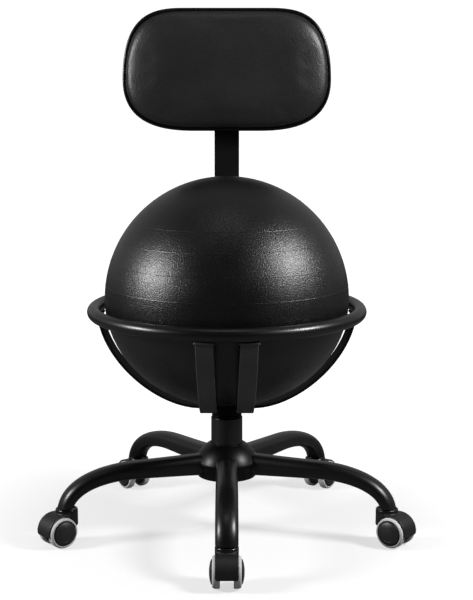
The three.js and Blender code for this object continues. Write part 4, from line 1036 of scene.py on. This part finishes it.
for side in (-1, 1):
    inner = side * (HOOD_HALF_WIDTH - HOOD_CORNER)
    outer = inner + side * 9
    cutter = block("corner", (min(inner, outer), front, HOOD_LOW - 4),
                   (max(inner, outer), rear, HOOD_LOW + HOOD_CORNER))
    put(cutter, -COLUMN)
    combine(cutter, rod("round_edge", HOOD_CORNER, (inner, front - PAST, HOOD_LOW + HOOD_CORNER),
                        (inner, rear + PAST, HOOD_LOW + HOOD_CORNER)), "DIFFERENCE")
    combine(hood, cutter, "DIFFERENCE")
    combine(hood, rod("well", WELL_RADIUS, (side * WEB_HALF_WIDTH, -TRAIL, AXLE_HEIGHT),
                      (side * 40, -TRAIL, AXLE_HEIGHT), sides=128), "DIFFERENCE")
combine(hood, rod("recess", 17, (0, 0, NECK_TOP - 2.6), (0, 0, NECK_TOP + 9)), "DIFFERENCE")
combine(hood, rod("bore", 5.8, (0, 0, 50.7), (0, 0, NECK_TOP + 9), sides=40), "DIFFERENCE")
finish_with(hood, "REMESH", mode="VOXEL", voxel_size=0.85 * MM)
finish_with(hood, "SMOOTH", factor=0.5, iterations=4)
smooth(hood)
two_finishes(hood, moulded_nylon, polished_plastic,
             lambda f: f.calc_center_median().z > POLISHED_FROM * MM)
print("hood:", len(hood.data.polygons), "faces")

# %% [markdown]
# A wheel is a moulded disc with a domed cap, and the tyre is cast round its rim. Both are turned.

# %% Wheel and tyre
wheel = turned("wheel", [
    (0, 21.3), (3.3, 21.3), (3.3, 9.3), (8, 9.3), (8, 12), (24, 12), (24, 25.1), (22.6, 25.1),
    (22.6, 24.1), (22, 24.1), (22, 26.4), (21.2, 27.2), (18, 28.5), (15.4, 29.3), (15.1, 28.9),
    (14.5, 28.9), (14.2, 29.5), (9, 30.4), (4, 30.8), (0, 30.8)], steps=72)
soften(wheel, 0.25, segments=2, sharp=24)
tyre = turned("tyre", [
    (24.2, 12), (28.1, 12), (28.95, 12.9), (29, 18), (28.8, 21.4), (28.1, 23.4), (26.8, 24.9),
    (25.4, 25.5), (24.2, 25.5), (24.2, 12)])
soften(tyre, 0.5, sharp=24)
print("wheel and tyre turned")

# %% [markdown]
# The five casters are alike, but each trails its own way. A half turn about the axle gives the
# other wheel.

# %% Setting the casters
STEM_CIRCLE = 315
for place_name, (azimuth, trail) in PLACES.items():
    outwards = Vector((sin(radians(azimuth)), -cos(radians(azimuth)), 0))
    stem = COLUMN + outwards * STEM_CIRCLE * MM
    caster = Matrix.Translation(stem) @ Matrix.Rotation(radians(trail), 4, "Z")
    hand_over(copy_to(hood, f"{place_name}_hood", caster), f"{place_name}_caster",
              f"{place_name}_caster_hood")
    axle = caster @ Matrix.Translation(Vector((0, -TRAIL, AXLE_HEIGHT)) * MM)
    for side_name, turn in (("left", pi), ("right", 0)):
        half = axle @ Matrix.Rotation(turn, 4, "Z") @ Matrix.Rotation(pi / 2, 4, "Y")
        name = f"{place_name}_{side_name}"
        # The wheel's paler nylon is painted light.
        hand_over(copy_to(wheel, f"{name}_wheel_disc", half), f"{name}_roller", f"{name}_wheel",
                  cap_nylon_painted_light)
        hand_over(copy_to(tyre, f"{name}_tyre_band", half), f"{name}_roller", f"{name}_tyre",
                  grey_polyurethane)
for template in (hood, wheel, tyre):
    bpy.data.objects.remove(template)
print("casters:", len(PLACES))

# %% [markdown]
# The backrest has wide upper corners and is widest below its middle. Tray, padding and piping all
# follow one outline, at different insets.

# %% Backrest outline
BACKREST_HALF_WIDTH = 207
BACKREST_LOW, BACKREST_WIDEST, BACKREST_HIGH = 749.5, 850, 991
RIM_FRONT, PANEL_FRONT, SHELL_BACK, BOSS_BACK = 222.9, 250.9, 262.9, 268.9
RIM_WIDTH = 7
CORNER_STEPS = 26


def backrest_outline(inset):
    """The backrest's outline as (x, z) points, drawn in from its edge."""
    half = BACKREST_HALF_WIDTH - inset
    points = []
    for height, flat, edge, side in ((BACKREST_HIGH - BACKREST_WIDEST - inset, 0.38, 0.43, 1),
                                     (BACKREST_LOW - BACKREST_WIDEST + inset, 0.3, 0.35, 0.96)):
        start = half * flat
        corner = ((start, height), (start + (half - start) * edge, height), (half, height * side),
                  (half, 0))
        quarter = [Vector((0, height))]
        quarter += [bezier(corner, step / CORNER_STEPS) for step in range(CORNER_STEPS + 1)]
        points += quarter if not points else quarter[::-1][1:]
    points += [Vector((-p.x, p.y)) for p in points[1:-1][::-1]]
    return [(p.x, p.y + BACKREST_WIDEST) for p in points]


def outline_line(inset, depth):
    """Draws the closed outline at one depth."""
    corners = [(x, depth, z) for x, z in backrest_outline(inset)]
    piece = draw_line(corners + corners[:1])
    merge_points()
    return piece


def outline_face(inset, depth):
    """Fills the outline at one depth with one selected face."""
    piece = outline_line(inset, depth)
    select_all()
    bpy.ops.mesh.edge_face_add()
    return piece

# %% [markdown]
# The tray is the outline pushed back. An inset makes the rim, rounded over nearly half its width
# so that it shines as a thin line, and an extrusion sinks the pocket.

# %% Backrest shell
RIM_ROUNDING, BACK_ROUNDING = 3.2, 7
shell = outline_face(0, RIM_FRONT)
extrude((0, (SHELL_BACK - RIM_FRONT) * MM, 0))
face_outwards()
select_where(shell, "FACE", lambda f: abs(f.calc_center_median().y / MM - RIM_FRONT) < 0.01)
bpy.ops.mesh.inset(thickness=RIM_WIDTH * MM)
extrude((0, (PANEL_FRONT - RIM_FRONT) * MM, 0))
for depth, rounding in ((RIM_FRONT, RIM_ROUNDING), (SHELL_BACK, BACK_ROUNDING)):
    round_where(shell, lambda e: lies_at(e, Y, depth) and e.calc_face_angle(0) > 0.5, rounding, 6)

# %% [markdown]
# The parting line between the polished front frame and the back shell is four cuts, of which the
# two middle ones are drawn in by a millimetre.

# %% Parting line
GROOVE = (239, 239.8, 241, 241.8)
GROOVE_DEPTH = 1.0
GROOVE_MIDDLE = 240.4


def on_side(v):
    """Whether a point lies on the tray's outer side, and not in its pocket."""
    return v.normal.dot(Vector((v.co.x, 0, v.co.z - BACKREST_WIDEST * MM))) > 0


for depth in GROOVE:
    cut(Y, depth)
select_where(shell, "VERT", lambda v: on_side(v)
             and any(abs(v.co.y / MM - depth) < 0.02 for depth in GROOVE[1:3]))
bpy.ops.transform.shrink_fatten(value=-GROOVE_DEPTH * MM)
put(shell, COLUMN, "backrest_tray")
smooth(shell, SMOOTH_ANGLE)
finish_with(shell, "WEIGHTED_NORMAL", keep_sharp=True)
two_finishes(shell, polished_plastic, moulded_nylon,
             lambda f: f.calc_center_median().y > COLUMN.y + GROOVE_MIDDLE * MM)
hand_over(shell, "backrest", "backrest_shell")
print("tray:", len(shell.data.polygons), "faces")

# %% [markdown]
# A flat boss takes the bar, 50 by 6 mm steel, and four screws hold it. They are out of the
# photograph's sight.

# %% Boss, upright bar and its screws
BOSS_HALF_WIDTH, BOSS_LOW, BOSS_HIGH, BOSS_CORNER = 31, 767.5, 920, 9
BAR_LOW, BAR_HIGH, BAR_CORNER = 386, 905, 7
boss = block("backrest_boss", (-BOSS_HALF_WIDTH, SHELL_BACK - 5, BOSS_LOW),
             (BOSS_HALF_WIDTH, BOSS_BACK, BOSS_HIGH))
round_where(boss, lambda e: runs_along(e, Y), BOSS_CORNER, 8)
soften(boss, 1.4)
hand_over(boss, "backrest", "backrest_shell", moulded_nylon)
bar = block("upright_flat_bar", (-BAR_WIDTH / 2, BAR_FRONT, BAR_LOW),
            (BAR_WIDTH / 2, BAR_BACK, BAR_HIGH))
round_where(bar, lambda e: runs_along(e, Y), BAR_CORNER, 8)
soften(bar, 0.9)
hand_over(bar, "backrest", "upright_bar", satin_enamel)
set_screws("bar_screw", 5.6, 3.2,
           [(x, BAR_BACK, z) for x, z in ((-12, 792), (12, 792), (-12, 886), (12, 886))],
           FACING_BACK, "backrest", "upright_bar")
print("bar and screws ready")

# %% [markdown]
# The padding is foam under leatherette. A stack of insets makes its crown. It is blown up as cloth
# with its back held. The real cover is drawn tight, so the swell is limited and smoothed.

# %% Backrest cushion
CUSHION_BACK = 250.6
CUSHION_SIDE = 29.5
CUSHION_INSET = 6.8
CUSHION_HELD = 12
CROWN_RUN, CROWN_RISE = 68, 22
CROWN_SHARES = ((0, 0), (0.03, 0.32), (0.1, 0.52), (0.25, 0.72), (0.45, 0.86), (0.7, 0.95), (1, 1))
SWELL_LIMIT = 0.9
SWELL_FRAMES = 20
COVER = {"use_pressure": True, "uniform_pressure_force": 3, "quality": 5, "tension_stiffness": 40,
         "compression_stiffness": 40, "bending_stiffness": 20, "vertex_group_mass": "held_back"}
cushion = outline_face(CUSHION_INSET, CUSHION_BACK)
extrude((0, -CUSHION_SIDE * MM, 0))
for (run, rise), (next_run, next_rise) in zip(CROWN_SHARES, CROWN_SHARES[1:]):
    bpy.ops.mesh.inset(thickness=(next_run - run) * CROWN_RUN * MM)
    bpy.ops.transform.translate(value=(0, -(next_rise - rise) * CROWN_RISE * MM, 0))
face_outwards()
put(cushion, COLUMN, "backrest_padding")
finish_with(cushion, "REMESH", mode="VOXEL", voxel_size=4 * MM)
finish_with(cushion, "SMOOTH", factor=0.5, iterations=3)
start = [point.co.copy() for point in cushion.data.vertices]
held = cushion.vertex_groups.new(name=COVER["vertex_group_mass"])
held_from = COLUMN.y + (CUSHION_BACK - CUSHION_HELD) * MM
held.add([v.index for v in cushion.data.vertices if v.co.y > held_from], 1.0, "REPLACE")
choose(cushion)
stuffing = cushion.modifiers.new("Stuffing", "CLOTH")
for name, value in COVER.items():
    setattr(stuffing.settings, name, value)
stuffing.settings.effector_weights.gravity = 0
for moment in range(1, SWELL_FRAMES + 1):
    bpy.context.scene.frame_set(moment)
bpy.ops.object.modifier_apply(modifier=stuffing.name)
bpy.context.scene.frame_set(1)
for point, before in zip(cushion.data.vertices, start):
    swell = point.co - before
    if swell.length > SWELL_LIMIT * MM:
        point.co = before + swell.normalized() * SWELL_LIMIT * MM
cushion.vertex_groups.clear()
finish_with(cushion, "SMOOTH", factor=0.5, iterations=12)
finish_with(cushion, "SUBSURF", levels=1, render_levels=1)
smooth(cushion)
hand_over(cushion, "backrest", "backrest_cushion", leatherette)
print("cushion:", len(cushion.data.polygons), "faces")

# %% [markdown]
# A thin piping between padding and rim is the outline again, as a curve with a round bevel.

# %% Piping
PIPING_RADIUS = 1.2
PIPING_SINK = 1.6
piping = outline_line(RIM_WIDTH + PIPING_RADIUS - 0.4, RIM_FRONT + PIPING_SINK)
choose(piping)
bpy.ops.object.convert(target="CURVE")
piping.data.bevel_depth = PIPING_RADIUS * MM
piping.data.bevel_resolution = 4
bpy.ops.object.convert(target="MESH")
piping = put(bpy.context.object, COLUMN, "backrest_piping")
smooth(piping)
hand_over(piping, "backrest", "backrest_cushion", leatherette)

# %% [markdown]
# The stems, axles and bearing of the frame are right as they are, and only get their finish.

# %% Finishes of the solids that stay
STAYING = {"thrust_bearing": zinc_plate, "retaining_clip": zinc_plate, "lower_bush": moulded_nylon,
           "hub_underside_cover": moulded_nylon}
for place_name in PLACES:
    STAYING[f"{place_name}_caster_stem"] = black_zinc
    STAYING[f"{place_name}_caster_axle"] = zinc_plate
for node_name, material in STAYING.items():
    for material_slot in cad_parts[node_name].material_slots:
        material_slot.material = material
print("solids that stay:", len(STAYING))

# %% [markdown]
# Last, nothing is left selected.

# %% Finish
clear_selection()
